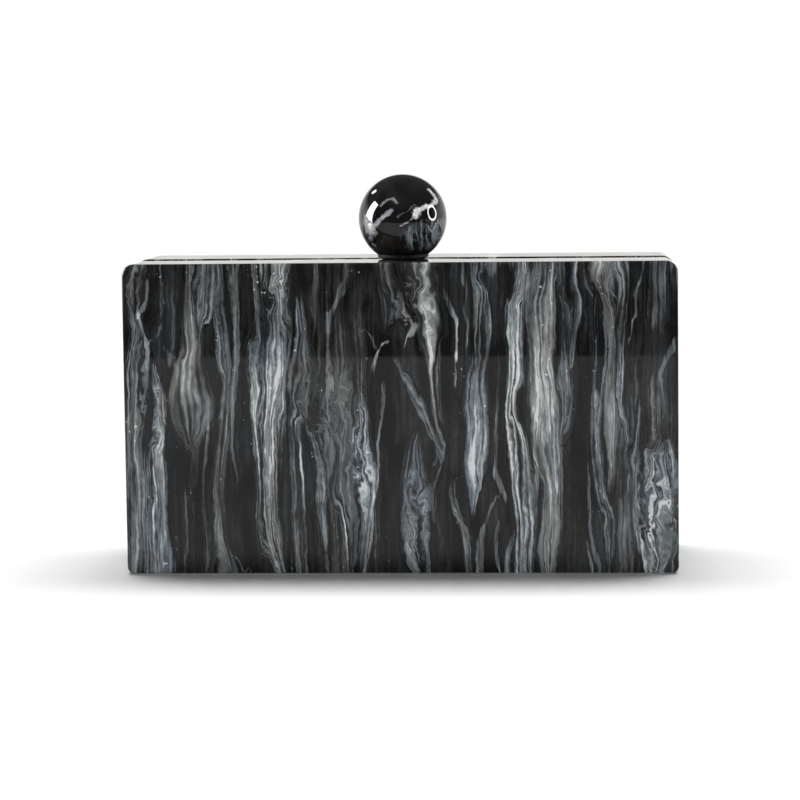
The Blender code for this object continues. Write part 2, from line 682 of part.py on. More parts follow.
def main():
    clear_scene()
    looks = {
        "acrylic": material("marbled_acrylic", (0.035, 0.038, 0.042), 0.06),
        "brass": material("gold_plated_brass", (0.83, 0.62, 0.30), 0.22, 1.0),
        "steel": material("bright_steel", (0.62, 0.62, 0.63), 0.28, 1.0),
        "lining": material("black_suede", (0.018, 0.018, 0.020), 0.92),
    }
    hinge_line = (0, 0, HINGE_AXIS_Z)
    halves = {side: pivot(f"{SIDE_NAMES[side]}_half", hinge_line) for side in (REAR, FRONT)}
    screw = screw_mesh(looks["brass"])
    rims = make_shells(looks, halves)
    fit_hinges(looks, halves, rims, screw)
    fit_clasp(looks, halves, rims, screw)
    fit_chain_anchors(looks, halves, rims, screw)


main()
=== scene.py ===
"""The looks of the box clutch purse: marbled acrylic, gold-plated hardware and a suede lining.

Every CAD piece is shown by a refined copy of itself, which rides on the same body. The ball, which is turned,
and the lining pads, which are crowned, are built anew, and a felt washer and two felt strips are added. The
strips are also painted shade: dark felt in the seam that makes it read as a dark line.
Lengths are in metres, and marble patterns in millimetres.
"""

import json
import math

import bmesh
import bpy
from mathutils import Euler, Matrix, Vector, noise

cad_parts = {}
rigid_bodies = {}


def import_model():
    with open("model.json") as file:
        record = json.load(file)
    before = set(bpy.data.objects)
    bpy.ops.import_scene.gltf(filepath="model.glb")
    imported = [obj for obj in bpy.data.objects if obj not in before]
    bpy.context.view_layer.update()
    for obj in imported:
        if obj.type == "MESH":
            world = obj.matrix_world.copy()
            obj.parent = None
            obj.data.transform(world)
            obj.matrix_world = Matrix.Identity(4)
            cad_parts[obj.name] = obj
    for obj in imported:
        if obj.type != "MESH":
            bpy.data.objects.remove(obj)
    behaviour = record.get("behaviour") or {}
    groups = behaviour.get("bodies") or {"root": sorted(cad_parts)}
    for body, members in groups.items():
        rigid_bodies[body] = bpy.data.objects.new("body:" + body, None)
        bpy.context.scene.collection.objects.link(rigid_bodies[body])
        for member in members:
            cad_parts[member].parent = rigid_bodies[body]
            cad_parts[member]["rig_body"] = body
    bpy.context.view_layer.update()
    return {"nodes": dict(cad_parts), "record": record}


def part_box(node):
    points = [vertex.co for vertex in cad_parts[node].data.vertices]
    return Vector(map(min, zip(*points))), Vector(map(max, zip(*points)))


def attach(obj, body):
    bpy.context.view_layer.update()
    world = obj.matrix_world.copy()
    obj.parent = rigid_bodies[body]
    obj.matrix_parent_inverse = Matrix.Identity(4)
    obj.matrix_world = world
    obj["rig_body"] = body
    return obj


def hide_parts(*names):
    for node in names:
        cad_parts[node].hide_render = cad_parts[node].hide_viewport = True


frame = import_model()

MM = 0.001
PANEL_LOW, PANEL_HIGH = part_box("front_panel")
REAR_LOW, REAR_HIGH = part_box("rear_panel")
KNOB_LOW, KNOB_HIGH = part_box("ball_knob")
HALF_WIDTH = PANEL_HIGH.x
HEIGHT = REAR_HIGH.z
KNOB_RADIUS = (KNOB_HIGH.x - KNOB_LOW.x) / 2
COLLAR_LOW = HEIGHT + 0.3 * MM  # the underside of the spacer's collar, below the ball
KNOB_CENTRE = Vector((0, 0, KNOB_HIGH.z - KNOB_RADIUS))
MM_WIDTH = 2 * HALF_WIDTH / MM
MM_HEIGHT = HEIGHT / MM
VEIN_HALF_LIMIT = 12.0
CHUNK = 8
REAR_SHIFT = 63.0

# The veins of the front sheet as drawn, large to small. Each has a softness (0 stringy, 1 smoky), a
# warmth (-1 bluish to 1 creamy) and its run from top to bottom: height, place across and half width in
# millimetres, and strength in percent. Veins of the last group lie over the others as single threads.
SMOKE = (
    (1, 0.7, ((112, -20, 9, 12), (96, -20, 10, 18), (80, -21, 12, 24), (66, -22, 12, 34),
        (50, -20, 10, 34))),
    (1, 0, ((66, -22, 8, 16), (58, -22, 9, 40), (45, -20, 9, 48), (30, -20, 6.5, 42), (20, -16, 4, 20),
        (12, -15, 3, 0))),
    (0.9, -0.6, ((112, 67, 2.6, 22), (96, 68, 3.2, 24), (80, 69, 2.6, 18), (72, 69, 2, 0))),
    (0.8, 0.1, ((78, 84, 2, 0), (70, 84, 3, 24), (50, 81, 3, 32), (30, 81, 3.5, 36), (10, 81, 3.2, 36),
        (0, 81, 3, 30))),
    (0.8, 0.1, ((112, 94, 4.6, 34), (95, 92.5, 4, 28), (85, 95, 2.4, 16), (78, 96, 2, 0))),
    (0.9, 0, ((74, 93, 4, 0), (66, 93, 5, 28), (50, 93, 6.2, 34), (44, 93, 6, 30), (38, 93, 6, 0))),
    (0.9, 0.5, ((74, 0, 4, 0), (60, 1, 5, 10), (30, 14, 6, 12), (0, 18, 6, 10))),
    (0.9, 0.3, ((84, -70, 3, 0), (76, -68.5, 3, 10), (60, -69, 3, 16), (30, -74, 5, 16), (8, -73, 7, 20),
        (0, -72, 7, 20))),
    (0.9, -0.5, ((106, -82, 2.5, 0), (98, -82, 2.5, 14), (86, -82, 3, 20), (74, -82, 2, 10),
        (66, -82, 2, 0))),
    (0.8, 0.2, ((112, -52, 1.5, 25), (104, -52, 1.5, 0))),
    (0.8, 0.1, ((112, 34, 8, 42), (110, 34, 7.5, 22), (108, 34, 7, 0))),
)
VEINS = (
    (0.35, 0, ((112, -93.7, 3.4, 36), (104, -95.2, 3.4, 26), (92, -95, 1.9, 46), (86, -93.8, 2.5, 62),
        (76, -95, 4.2, 60), (63, -95.3, 3.5, 52), (50, -96, 3.4, 52), (35, -95.3, 3.8, 62),
        (18, -95.5, 4, 52), (0, -96, 3.8, 42))),
    (0, -0.4, ((79, -88.8, 0.8, 0), (76, -88.8, 1.2, 40), (70, -88, 2, 50), (63, -87.4, 2.2, 62),
        (52, -87.5, 2.3, 82), (40, -88.5, 3.2, 88), (25, -88.3, 3.3, 92), (8, -87.6, 3.8, 92),
        (0, -87.5, 3.8, 85))),
    (0.9, 0.4, ((112, -74.7, 2.2, 50), (102, -74, 3, 60), (90, -75, 3.2, 70), (82, -75.3, 3.3, 70),
        (76, -76.5, 4.6, 76), (68, -76.5, 5.8, 86), (60, -75.5, 6.6, 72), (55, -75.5, 6, 60),
        (49, -75.8, 2.8, 42), (43, -74.3, 1, 36), (36, -74.5, 0.7, 15), (30, -74.5, 0.5, 0))),
    (0.1, -0.1, ((112, -69.5, 3.9, 70), (102, -69.5, 3.9, 78), (95, -70, 3, 82), (91, -71, 1.7, 60),
        (87, -72, 1, 20), (84, -72, 1, 0))),
    (0.35, 0, ((112, -63.5, 1, 60), (102, -64.2, 1.2, 60), (96, -64.8, 1.7, 56), (89, -64.2, 2, 56),
        (82, -63.8, 2.1, 56), (76, -63.2, 2.1, 62), (69, -62.3, 1.7, 62), (63, -63, 2.1, 66),
        (48, -64, 1.9, 62), (37, -65.8, 2, 66), (24, -65.9, 2, 70), (10, -65.2, 2.5, 70),
        (5, -64.5, 3.4, 50), (0, -64, 4.5, 36))),
    (0.3, 0.1, ((112, -58.9, 2.7, 38), (102, -58.8, 2.3, 42), (96, -58.8, 1.9, 42), (89, -58.4, 1.6, 46),
        (80, -58.6, 1.4, 46), (70, -59.4, 1.3, 46), (63, -60, 1.2, 50), (50, -60.3, 0.8, 40),
        (43, -60.4, 0.6, 36), (36, -59.2, 0.3, 26), (32, -59, 0.3, 0))),
    (0, 0, ((112, -46, 6.6, 56), (102, -46.2, 6, 66), (96, -45.8, 6.2, 62), (89, -45.6, 6.2, 66),
        (83, -46.3, 7, 76), (76, -46.4, 7, 86), (63, -46.8, 6.2, 90), (56, -47.7, 5, 90),
        (43, -48, 4.2, 90), (30, -48.2, 3.3, 80), (17, -47.5, 4, 80), (10, -46.6, 3.4, 86),
        (5, -45, 2.7, 86), (0, -43.5, 2, 86))),
    (0.2, 0.1, ((72, -41, 1.2, 0), (66, -41.5, 1.7, 52), (56, -42, 1.9, 40), (45, -43, 1.3, 32),
        (30, -43.5, 0.9, 22), (24, -43.5, 0.8, 0))),
    (0.2, -0.2, ((102, -36, 1, 0), (96, -35.8, 1.7, 42), (83, -35.5, 3, 52), (70, -36, 4, 52),
        (60, -36.5, 3.6, 52), (53, -38.5, 2.1, 52), (37, -37.6, 2.4, 56), (24, -36.9, 2.4, 62),
        (11, -36.9, 3, 62), (0, -36.6, 3.4, 56))),
    (0.1, -0.2, ((64, -36.4, 0.6, 0), (58, -34.5, 0.9, 34), (50, -31.5, 1.1, 50), (43.5, -29.5, 1.4, 62),
        (37, -28.2, 2.1, 78), (30, -28.2, 2.3, 92), (24, -29, 1.5, 72), (17.7, -28, 1.1, 80),
        (12.5, -27.4, 0.5, 70), (9, -27.2, 0.3, 0))),
    (0.1, -0.1, ((58, -28, 0.6, 0), (55, -27, 0.9, 40), (51, -23.7, 1, 42), (40, -22.4, 1.3, 52),
        (30.6, -23, 2, 66), (24, -21.5, 1.4, 82), (17.7, -20.5, 1.1, 88), (10, -20, 0.9, 82),
        (0, -19.2, 0.9, 78))),
    (0.1, -0.4, ((66, -14, 0.8, 0), (62, -14, 1.2, 50), (56, -13.2, 1.7, 62), (50, -14, 2.7, 82),
        (43, -13.5, 3.3, 92), (36, -12.5, 3.7, 88), (30, -12.5, 3.4, 76), (22, -13, 2.3, 62),
        (14, -14, 2, 56), (0, -15, 2, 46))),
    (0.3, 0.1, ((112, 8, 5.4, 52), (104, 8.8, 5, 52), (97, 9.5, 4.6, 52), (93, 11, 4.2, 52),
        (87, 11.3, 3.9, 56), (83, 10.7, 2.9, 62), (78, 11, 1.9, 72), (73, 11, 1.1, 56), (64, 11.8, 1.2, 62),
        (57, 12.8, 1.2, 62), (50, 15, 1, 52), (46, 16, 1, 50), (43, 15, 1.2, 42), (36, 12.5, 1.5, 32),
        (26, 10.5, 1.6, 36), (20, 10.5, 1.4, 0))),
    (0.2, 0.2, ((102, -1.5, 2, 0), (98, 0, 2.6, 38), (93, 2, 2.1, 38), (91, 5.5, 1.6, 46),
        (88, 4.3, 0.9, 52), (85, 2.5, 0.6, 62), (83.5, 1.7, 0.4, 0))),
    (0.3, -0.4, ((79, -1.5, 0.8, 0), (76, -0.5, 0.9, 52), (71.3, 3, 1.7, 68), (65, 5.8, 1.7, 68),
        (55.6, 9.5, 1.2, 62), (50, 12, 0.9, 62), (45, 14.8, 0.8, 56), (42, 15.4, 0.8, 0))),
    (0.25, -0.3, ((112, 28.5, 2.4, 42), (108, 27.8, 1.7, 52), (102, 29.5, 2.3, 62), (96, 29.6, 2.7, 66),
        (89, 29.4, 2.6, 66), (83, 29.1, 2.4, 66), (76.5, 28.6, 1.9, 72), (70, 27.5, 2.8, 96),
        (60, 27.4, 3.6, 100), (50, 27.8, 3.6, 100), (43, 27.3, 3.6, 96), (37, 26.8, 3.2, 80),
        (32, 26.8, 2.2, 62), (26.5, 26.1, 1, 50), (23, 25.9, 0.5, 30), (20.5, 25.9, 0.3, 0))),
    (0, -0.1, ((112, 44.6, 2, 72), (106, 44.6, 2.5, 76), (100, 43.5, 2.7, 72), (96, 42, 3.3, 86),
        (89, 42, 3.3, 86), (83, 41.8, 2.9, 90), (76, 41.9, 2.7, 90), (70, 41.6, 3, 90), (65, 40.2, 2.1, 86),
        (58, 40, 1.9, 82), (52, 41.5, 2.4, 86), (46, 42.3, 3.3, 86), (37, 43.4, 3.8, 86),
        (24, 44.5, 3.7, 82), (11, 44.8, 3.3, 82), (0, 44.5, 3.3, 76))),
    (0.55, 0.2, ((112, 53, 4, 76), (102, 51.9, 4.3, 86), (96, 51.6, 4.3, 86), (83, 51.9, 4, 86),
        (76, 51.7, 4.1, 90), (70, 52.2, 4.6, 96), (60, 52.8, 5.1, 92), (50, 53, 4.8, 82),
        (43, 53.2, 4.3, 76), (37, 53.7, 3.5, 72), (30, 54.5, 3, 72), (17, 54.2, 3.3, 72), (5, 53.2, 3, 72),
        (0, 53.2, 2.4, 72))),
    (0.1, -0.3, ((112, 58.7, 0.9, 52), (102, 58.6, 1.1, 52), (96, 60.5, 1.7, 52), (89, 60.5, 1.7, 42),
        (80, 60.3, 1.9, 38), (74, 60.5, 2.5, 52), (70, 60.5, 2.5, 48), (63, 60.7, 1.9, 42),
        (56, 60.3, 1.4, 38), (50, 59, 1, 26), (44, 58.5, 0.8, 0))),
    (0.1, -0.3, ((112, 63, 0.9, 52), (104, 62.6, 0.9, 52), (98, 64.3, 1.1, 62), (90, 64, 0.9, 52),
        (84, 62.8, 0.8, 52), (79, 62, 0.6, 42), (76, 61.8, 0.5, 0))),
    (0, -0.2, ((68, 70.5, 0.8, 0), (66, 70.5, 1.2, 42), (60, 70.6, 2.2, 62), (54, 69.9, 1.9, 62),
        (44, 69.7, 1.9, 66), (39, 70.4, 1.9, 72), (34, 71.4, 1.6, 72), (29, 72, 1.6, 72), (24, 74, 1.8, 76),
        (19, 75, 1.6, 76), (14, 74.8, 2, 66), (8, 75, 1.6, 62), (0, 74.6, 0.9, 52))),
    (0.8, 0.15, ((112, 73, 4.3, 78), (107, 72.5, 3.9, 82), (103, 73.5, 2.7, 52), (98, 74.9, 1.4, 52),
        (92, 75.8, 1.4, 52), (83, 76.3, 1.2, 52), (76, 76.5, 1.6, 62), (70, 76.4, 2.1, 76),
        (60, 76.4, 2.7, 88), (50, 76, 2.4, 82), (43, 75.6, 1.8, 66), (37, 75.7, 1.7, 42),
        (30, 75.5, 1.5, 20), (26, 75.5, 1.5, 0))),
    (0.1, -0.35, ((112, 79.6, 2.4, 66), (105, 80.1, 1.9, 72), (99, 80, 1.8, 82), (83, 79.1, 1.6, 82),
        (76, 79.1, 1.6, 76), (63, 78.8, 1.2, 72), (60, 79.3, 1.1, 72), (56, 80.3, 0.7, 72),
        (50, 80.8, 0.4, 72), (46, 81, 0.3, 0))),
    (0.35, -0.1, ((66, 86, 0.6, 0), (58, 85.8, 1, 42), (50, 84.5, 1.3, 52), (43, 83.4, 1.9, 66),
        (37, 84.1, 1.7, 66), (30, 84.9, 1.3, 72), (17.7, 84.8, 1, 82), (11, 85.4, 1, 76),
        (8, 86.4, 1.2, 82), (4.8, 87.7, 1.2, 82), (0, 89.2, 1.3, 72))),
    (0, -0.3, ((49, 94, 2.5, 0), (46, 94, 3.5, 40), (43, 92.8, 5.5, 62), (36, 93, 6.6, 76),
        (20, 93.5, 6.6, 82), (8, 94, 6.2, 76), (0, 94.5, 5.6, 66))),
    (0, -0.5, ((54, 6, 1.2, 0), (50, 5.6, 1.8, 28), (46, 5, 2.6, 38), (36, 5, 3.8, 52), (24, 5.5, 4.7, 72),
        (14, 5.5, 4.7, 76), (6, 6, 4.4, 62), (0, 7.5, 3.2, 42))),
    (0.6, 0.1, ((112, -5.5, 2.4, 38), (103, -4, 3, 38), (96, -3.2, 2.7, 34), (90, -4, 1.6, 20),
        (87, -4, 1.2, 0))),
    (0.15, 0, ((39, 22.6, 0.3, 0), (38, 22, 0.5, 32), (34, 18.9, 1, 52), (29, 18.5, 1.1, 72),
        (23, 20, 1.1, 72), (17.7, 22.4, 1.2, 66), (11, 23.6, 1.4, 56), (5, 24, 1.2, 36), (0, 24, 1, 20))),
)
THREADS = (
    (0.2, 0, ((108, -91, 0.4, 0), (106, -90.6, 0.5, 60), (98, -92, 0.6, 66), (90.6, -95, 0.5, 66),
        (88, -95.5, 0.4, 0))),
    (0.2, 0, ((109, -92.4, 0.4, 0), (107, -92.8, 0.4, 42), (100, -95.5, 0.5, 46), (95, -96.5, 0.4, 0))),
    (0.3, 0, ((24, -92.7, 0.4, 0), (20, -92.7, 0.5, 62), (0, -93, 0.5, 66))),
    (0.4, 0, ((112, -85.6, 0.5, 40), (102, -85, 0.8, 44), (93, -85.5, 0.9, 38), (88, -87.6, 0.9, 30),
        (85.5, -90.5, 0.5, 42), (84, -91, 0.3, 0))),
    (0.4, -0.2, ((88, -85.2, 0.5, 0), (84, -84.8, 0.7, 44), (79, -83, 1, 48), (74, -81.5, 1, 34),
        (70, -81, 1, 0))),
    (0.6, 0.5, ((82, -81.6, 0.8, 0), (78, -81, 1.1, 44), (68, -79, 2, 76), (58, -78, 1.7, 76),
        (50, -76.5, 1, 42), (46, -76, 0.8, 0))),
    (0.7, 0.2, ((31, -77.7, 0.6, 0), (28, -77.7, 0.8, 30), (10, -78.4, 0.9, 26), (0, -80, 0.9, 20))),
    (0.3, 0, ((11, -64.4, 0.4, 0), (9, -64, 0.5, 42), (4.8, -59.8, 0.5, 56), (0.4, -55, 0.4, 46),
        (0, -54.6, 0.4, 46))),
    (0.4, -0.2, ((62, -69, 0.4, 0), (56, -69.2, 0.6, 50), (46, -69.5, 0.7, 50), (36, -71.1, 0.5, 42),
        (21, -71.4, 0.5, 32), (15, -71.5, 0.4, 0))),
    (0.1, 0, ((85, -54, 0.2, 0), (84, -53.7, 0.4, 70), (80, -53, 0.5, 82), (63, -52.8, 0.6, 100),
        (50, -52.2, 0.6, 96), (40, -51.5, 0.5, 92), (28, -51, 0.4, 62), (23, -50.8, 0.4, 0))),
    (0.2, 0, ((63, -38.4, 0.3, 0), (60, -38.1, 0.4, 66), (50, -37.3, 0.45, 86), (40, -36, 0.5, 96),
        (27, -35.6, 0.4, 76), (19, -35.3, 0.35, 62), (15, -35.2, 0.3, 0))),
    (0.2, 0, ((70, -5.4, 0.3, 0), (62.8, -5.8, 0.4, 44), (50, -7.6, 0.45, 50), (37, -8.3, 0.5, 76),
        (30, -9.4, 0.7, 96), (21.5, -10.6, 0.6, 86), (14.5, -11.1, 0.5, 86), (7, -12.3, 0.5, 76),
        (0, -13.6, 0.5, 66))),
    (0.3, -0.1, ((80, -13.7, 0.3, 0), (77, -13.7, 0.35, 38), (66, -13.7, 0.45, 50), (55, -13.9, 0.5, 66),
        (52, -13.9, 0.5, 0))),
    (0.7, -0.3, ((112, -29.5, 1.1, 32), (99, -30.2, 1.3, 38), (89, -29.7, 1.1, 28), (81, -29.7, 1, 0))),
    (0.5, 0.4, ((112, -19.2, 1, 38), (106.8, -19.5, 1.1, 54), (99.7, -22.4, 1.3, 54), (95.8, -25, 1.4, 38),
        (89, -25.8, 1.1, 32), (80, -26, 0.8, 0))),
    (0.3, 0.2, ((85, -3.9, 0.4, 0), (84.2, -4.5, 0.6, 82), (81.6, -7.4, 0.6, 92), (76.5, -9.5, 0.9, 52),
        (70, -10, 1, 0))),
    (0.4, 0.2, ((90, -15, 0.4, 0), (89.4, -13.4, 0.5, 40), (88.6, -11, 0.5, 52), (84.8, -8.9, 0.5, 44),
        (82, -7.8, 0.5, 0))),
    (0.2, 0.1, ((70, -6.2, 0.3, 0), (68, -6.3, 0.4, 44), (60, -6.5, 0.4, 50), (54, -6.9, 0.3, 0))),
    (0.1, 0.2, ((104, 17, 0.6, 0), (101, 17.4, 1, 52), (97, 18.6, 1.3, 62), (93, 20.4, 0.7, 72),
        (84, 20.6, 0.35, 60), (79.5, 20.5, 0.6, 95), (77, 20.3, 0.25, 34), (71, 20, 0.5, 48),
        (69, 19.8, 0.4, 0))),
    (0.1, 0.3, ((112, 22.6, 0.5, 30), (106, 23.4, 0.9, 48), (103.5, 24.2, 0.4, 52), (96, 23.6, 0.5, 62),
        (89, 24.3, 0.6, 62), (80, 23.9, 0.4, 54), (78, 23.8, 0.3, 0))),
    (0.1, 0, ((105, 31.6, 0.4, 0), (102, 32, 0.5, 44), (92, 32.5, 0.6, 56), (86, 31.8, 0.6, 46),
        (79, 31.2, 0.5, 0))),
    (0.1, 0, ((99, 39.2, 0.3, 0), (96, 39, 0.4, 82), (80, 39.2, 0.5, 92), (70, 38.9, 0.5, 100),
        (60, 38.2, 0.5, 100), (50, 39.5, 0.6, 100), (37, 40.2, 0.5, 100), (24, 41.2, 0.45, 92),
        (11, 42, 0.6, 92), (0, 42, 0.8, 92))),
    (0.2, 0, ((74, 47.2, 0.4, 0), (70, 47.5, 0.5, 66), (58, 48.3, 0.5, 76), (50, 48.5, 0.6, 86),
        (37, 48.6, 0.6, 76), (24, 48, 0.6, 72), (11, 47.8, 0.5, 62), (4, 47.6, 0.4, 0))),
    (0.5, 0.1, ((84, 53.8, 1, 0), (80, 53.8, 1.5, 82), (70, 54.3, 1.8, 100), (60, 55, 1.6, 100),
        (50, 56, 1.2, 96), (42, 56.2, 0.9, 100), (36, 55.6, 0.9, 100), (26, 56.5, 0.6, 92),
        (15, 56.3, 0.6, 86), (5, 54.5, 0.6, 86), (0, 54, 0.6, 86))),
    (0.2, -0.3, ((110, 66.4, 0.4, 0), (108, 66.8, 0.6, 44), (102, 68, 0.6, 44), (98, 70.6, 0.4, 0))),
    (0.1, 0, ((90, 71.2, 0.3, 0), (86, 71, 0.3, 40), (70, 70, 0.35, 50), (62, 69.6, 0.35, 54),
        (58, 69.3, 0.3, 0))),
    (0.1, 0.2, ((101, 74, 0.3, 0), (98, 74, 0.3, 44), (86, 74.1, 0.35, 56), (76, 73.8, 0.4, 66),
        (65, 72.7, 0.45, 80), (58, 71.3, 0.45, 82), (54, 71, 0.4, 0))),
    (0.3, 0.3, ((42, 67.2, 0.3, 0), (38, 67.3, 0.35, 30), (27, 67.7, 0.5, 40), (17.7, 68.3, 0.7, 42),
        (8, 69.3, 0.7, 42), (0, 71, 0.7, 36))),
    (0.2, 0, ((13, 66.5, 0.3, 0), (11, 66.7, 0.3, 52), (4.8, 67.6, 0.5, 76), (0, 68.2, 0.5, 56))),
    (0.1, 0.1, ((112, 74, 0.35, 60), (105, 75.5, 0.3, 56), (99.7, 77.4, 0.25, 42), (98, 77.8, 0.2, 0))),
    (0.1, 0.3, ((112, 87.4, 0.4, 48), (107, 86.8, 0.4, 54), (101.6, 84.9, 0.5, 60), (96, 85.4, 0.4, 54),
        (89, 83.9, 0.3, 48), (85, 82.8, 0.25, 34), (83, 82.4, 0.2, 0))),
    (0.5, 0, ((87, 99.4, 0.8, 0), (84, 98.8, 1, 40), (76.5, 95.5, 1.1, 50), (71, 93.7, 1, 50),
        (63, 94, 1.2, 40), (54, 94, 1.4, 0))),
    (0.2, 0.1, ((31, 36, 0.3, 0), (28, 34.8, 0.35, 34), (23, 32.5, 0.5, 40), (18, 30.5, 0.8, 50),
        (14, 28.8, 1.1, 54), (8, 28, 1.1, 54), (0, 27.8, 1.1, 50))),
    (0.4, 0.4, ((82, 35.6, 0.4, 0), (78, 35.5, 0.4, 18), (66, 34.8, 0.5, 30), (56, 34.8, 0.6, 40),
        (46.7, 35, 0.5, 46), (39, 34.5, 0.7, 56), (34.5, 35.5, 0.9, 60), (29, 37.5, 0.8, 44),
        (26, 38.7, 0.5, 20), (23, 39.4, 0.4, 0))),
    (0.4, 0.2, ((20, 34.9, 0.5, 0), (17.7, 34.8, 0.7, 34), (11, 34.2, 0.8, 34), (3.5, 34.8, 0.6, 66),
        (0, 36, 0.5, 76))),
    (0.2, -0.4, ((16, 40.2, 0.4, 0), (14, 40, 0.6, 44), (8, 38.7, 0.9, 60), (0, 38.3, 0.9, 56))),
    (0.6, 0.3, ((44, 13.8, 1.2, 32), (34, 11.8, 1, 32), (26, 11.5, 1.5, 38), (20, 12.5, 1.2, 28),
        (10, 16, 1, 22), (0, 17, 1, 18))),
)


# Where the flow curls: a place across and its height, and how far the curling reaches to each side and up.
CURLS = (
    (-94, 98, 12, 26),
    (-90, 60, 7, 22),
    (6, 98, 13, 18),
    (-26, 62, 20, 20),
    (-15, 36, 8, 22),
    (5, 22, 9, 24),
    (93, 22, 13, 34),
    (-44, 100, 8, 12),
)


# ---- node helpers ----


class Nodes:
    """Short calls for building a node tree."""

    def __init__(self, tree):
        self.tree = tree

    def add(self, kind, inputs=None, **settings):
        made = self.tree.nodes.new(kind)
        for name, value in settings.items():
            setattr(made, name, value)
        self.feed(made, inputs or {})
        return made

    def feed(self, node, inputs):
        """Links each input to a socket, or sets it to a plain value."""
        for key, value in inputs.items():
            if isinstance(value, bpy.types.NodeSocket):
                self.tree.links.new(value, node.inputs[key])
            else:
                node.inputs[key].default_value = value

    def math(self, operation, a, b=0.0, c=0.0, clamp=False):
        made = self.add("ShaderNodeMath", {0: a, 1: b, 2: c}, operation=operation, use_clamp=clamp)
        return made.outputs[0]

    def mul(self, a, b):
        return self.math("MULTIPLY", a, b)

    def sum(self, a, b):
        return self.math("ADD", a, b)

    def sub(self, a, b):
        return self.math("SUBTRACT", a, b)

    def clamp(self, a):
        return self.math("ADD", a, 0.0, clamp=True)

    def power(self, a, b):
        return self.math("POWER", a, b)

    def smooth(self, value, low, high, out_low=0.0, out_high=1.0):
        inputs = {"Value": value, 1: low, 2: high, 3: out_low, 4: out_high}
        made = self.add("ShaderNodeMapRange", inputs, interpolation_type="SMOOTHSTEP")
        return made.outputs[0]

    def scale_range(self, value, low, high, out_low=0.0, out_high=1.0):
        made = self.add("ShaderNodeMapRange", {"Value": value, 1: low, 2: high, 3: out_low, 4: out_high})
        return made.outputs[0]

    def vector(self, x, y, z):
        return self.add("ShaderNodeCombineXYZ", {0: x, 1: y, 2: z}).outputs[0]

    def split(self, vector):
        return self.add("ShaderNodeSeparateXYZ", {0: vector}).outputs

    def vector_math(self, operation, a, b=(0.0, 0.0, 0.0)):
        """Works on vectors. It gives a vector, or a number where the operation measures something."""
        inputs = {0: a, 3 if operation == "SCALE" else 1: b}
        made = self.add("ShaderNodeVectorMath", inputs, operation=operation)
        return made.outputs["Value" if operation in ("DOT_PRODUCT", "DISTANCE", "LENGTH") else "Vector"]

    def stretch(self, vector, x, y, z, shift=0.0):
        inputs = {0: vector, 1: (x, y, z), 2: (shift, shift * 0.7, shift * 1.3)}
        return self.add("ShaderNodeVectorMath", inputs, operation="MULTIPLY_ADD").outputs[0]

    def noise(self, stretched, detail=2.0, roughness=0.5, distortion=0.0, colour=False):
        """Noise at a place that is first stretched and shifted, as given to stretch."""
        inputs = {"Vector": self.stretch(*stretched), "Scale": 1.0, "Detail": detail}
        made = self.add("ShaderNodeTexNoise", {**inputs, "Roughness": roughness, "Distortion": distortion})
        return made.outputs["Color" if colour else "Fac"]

    def swing(self, *noise):
        """Noise that swings about zero."""
        return self.sub(self.noise(*noise), 0.5)

    def ridge(self, value, thin):
        """Bright lines where a noise crosses its middle."""
        away = self.math("ABSOLUTE", self.sub(value, 0.5))
        return self.smooth(away, 0.0, thin, 1.0, 0.0)

    def mix(self, factor, a, b):
        return self.add("ShaderNodeMix", {0: factor, 2: a, 3: b}, data_type="FLOAT").outputs[0]

    def mix_vector(self, factor, a, b):
        return self.add("ShaderNodeMix", {0: factor, 4: a, 5: b}, data_type="VECTOR").outputs[1]

    def mix_colour(self, factor, a, b):
        return self.add("ShaderNodeMix", {0: factor, 6: a, 7: b}, data_type="RGBA").outputs[2]

    def ramp(self, value, stops):
        made = self.add("ShaderNodeValToRGB", {0: value})
        elements = made.color_ramp.elements
        while len(elements) < len(stops):
            elements.new(0.5)
        for element, (place, colour) in zip(elements, stops):
            element.position = place
            element.color = (*colour, 1.0)
        return made.outputs[0]

    def bump(self, height, distance, strength):
        inputs = {"Height": height, "Distance": distance, "Strength": strength}
        return self.add("ShaderNodeBump", inputs).outputs[0]

    def in_mm(self):
        """The point in millimetres, in the purse's own frame."""
        return self.vector_math("SCALE", self.add("ShaderNodeTexCoord").outputs["Object"], 1 / MM)


def new_material(name):
    made = bpy.data.materials.new(name)
    made.use_nodes = True
    made.node_tree.nodes.clear()
    nodes = Nodes(made.node_tree)
    shader = nodes.add("ShaderNodeBsdfPrincipled")
    nodes.add("ShaderNodeOutputMaterial", {"Surface": shader.outputs[0]})
    return made, nodes, shader


def new_group(name, takes, gives):
    group = bpy.data.node_groups.new(name, "ShaderNodeTree")
    for way, sockets in (("INPUT", takes), ("OUTPUT", gives)):
        for label, kind in sockets.items():
            group.interface.new_socket(label, in_out=way, socket_type=f"NodeSocket{kind}")
    return group, Nodes(group)


# ---- marble ----

LAYOUT_GIVES = {"Flow": "Vector", "Strength": "Float", "Manner": "Vector"}


def vein_curve(n, rise, run):
    """A vein's place, half width and strength at a height, read from its run."""
    made = n.add("ShaderNodeRGBCurve", {"Color": rise})
    mapping = made.mapping
    mapping.extend = "HORIZONTAL"
    stations = sorted(run)
    for channel in range(3):
        points = mapping.curves[channel].points
        while len(points) < len(stations):
            points.new(0.5, 0.5)
        for point, (height, place, half, percent) in zip(points, stations):
            shares = (place / MM_WIDTH + 0.5, half / VEIN_HALF_LIMIT, percent / 100)
            point.location = (height / MM_HEIGHT, shares[channel])
            point.handle_type = "AUTO_CLAMPED"
    mapping.update()
    red, green, blue = n.add("ShaderNodeSeparateColor", {0: made.outputs[0]}).outputs
    centre = n.math("MULTIPLY_ADD", red, MM_WIDTH, -MM_WIDTH / 2)
    return centre, n.mul(green, VEIN_HALF_LIMIT), blue


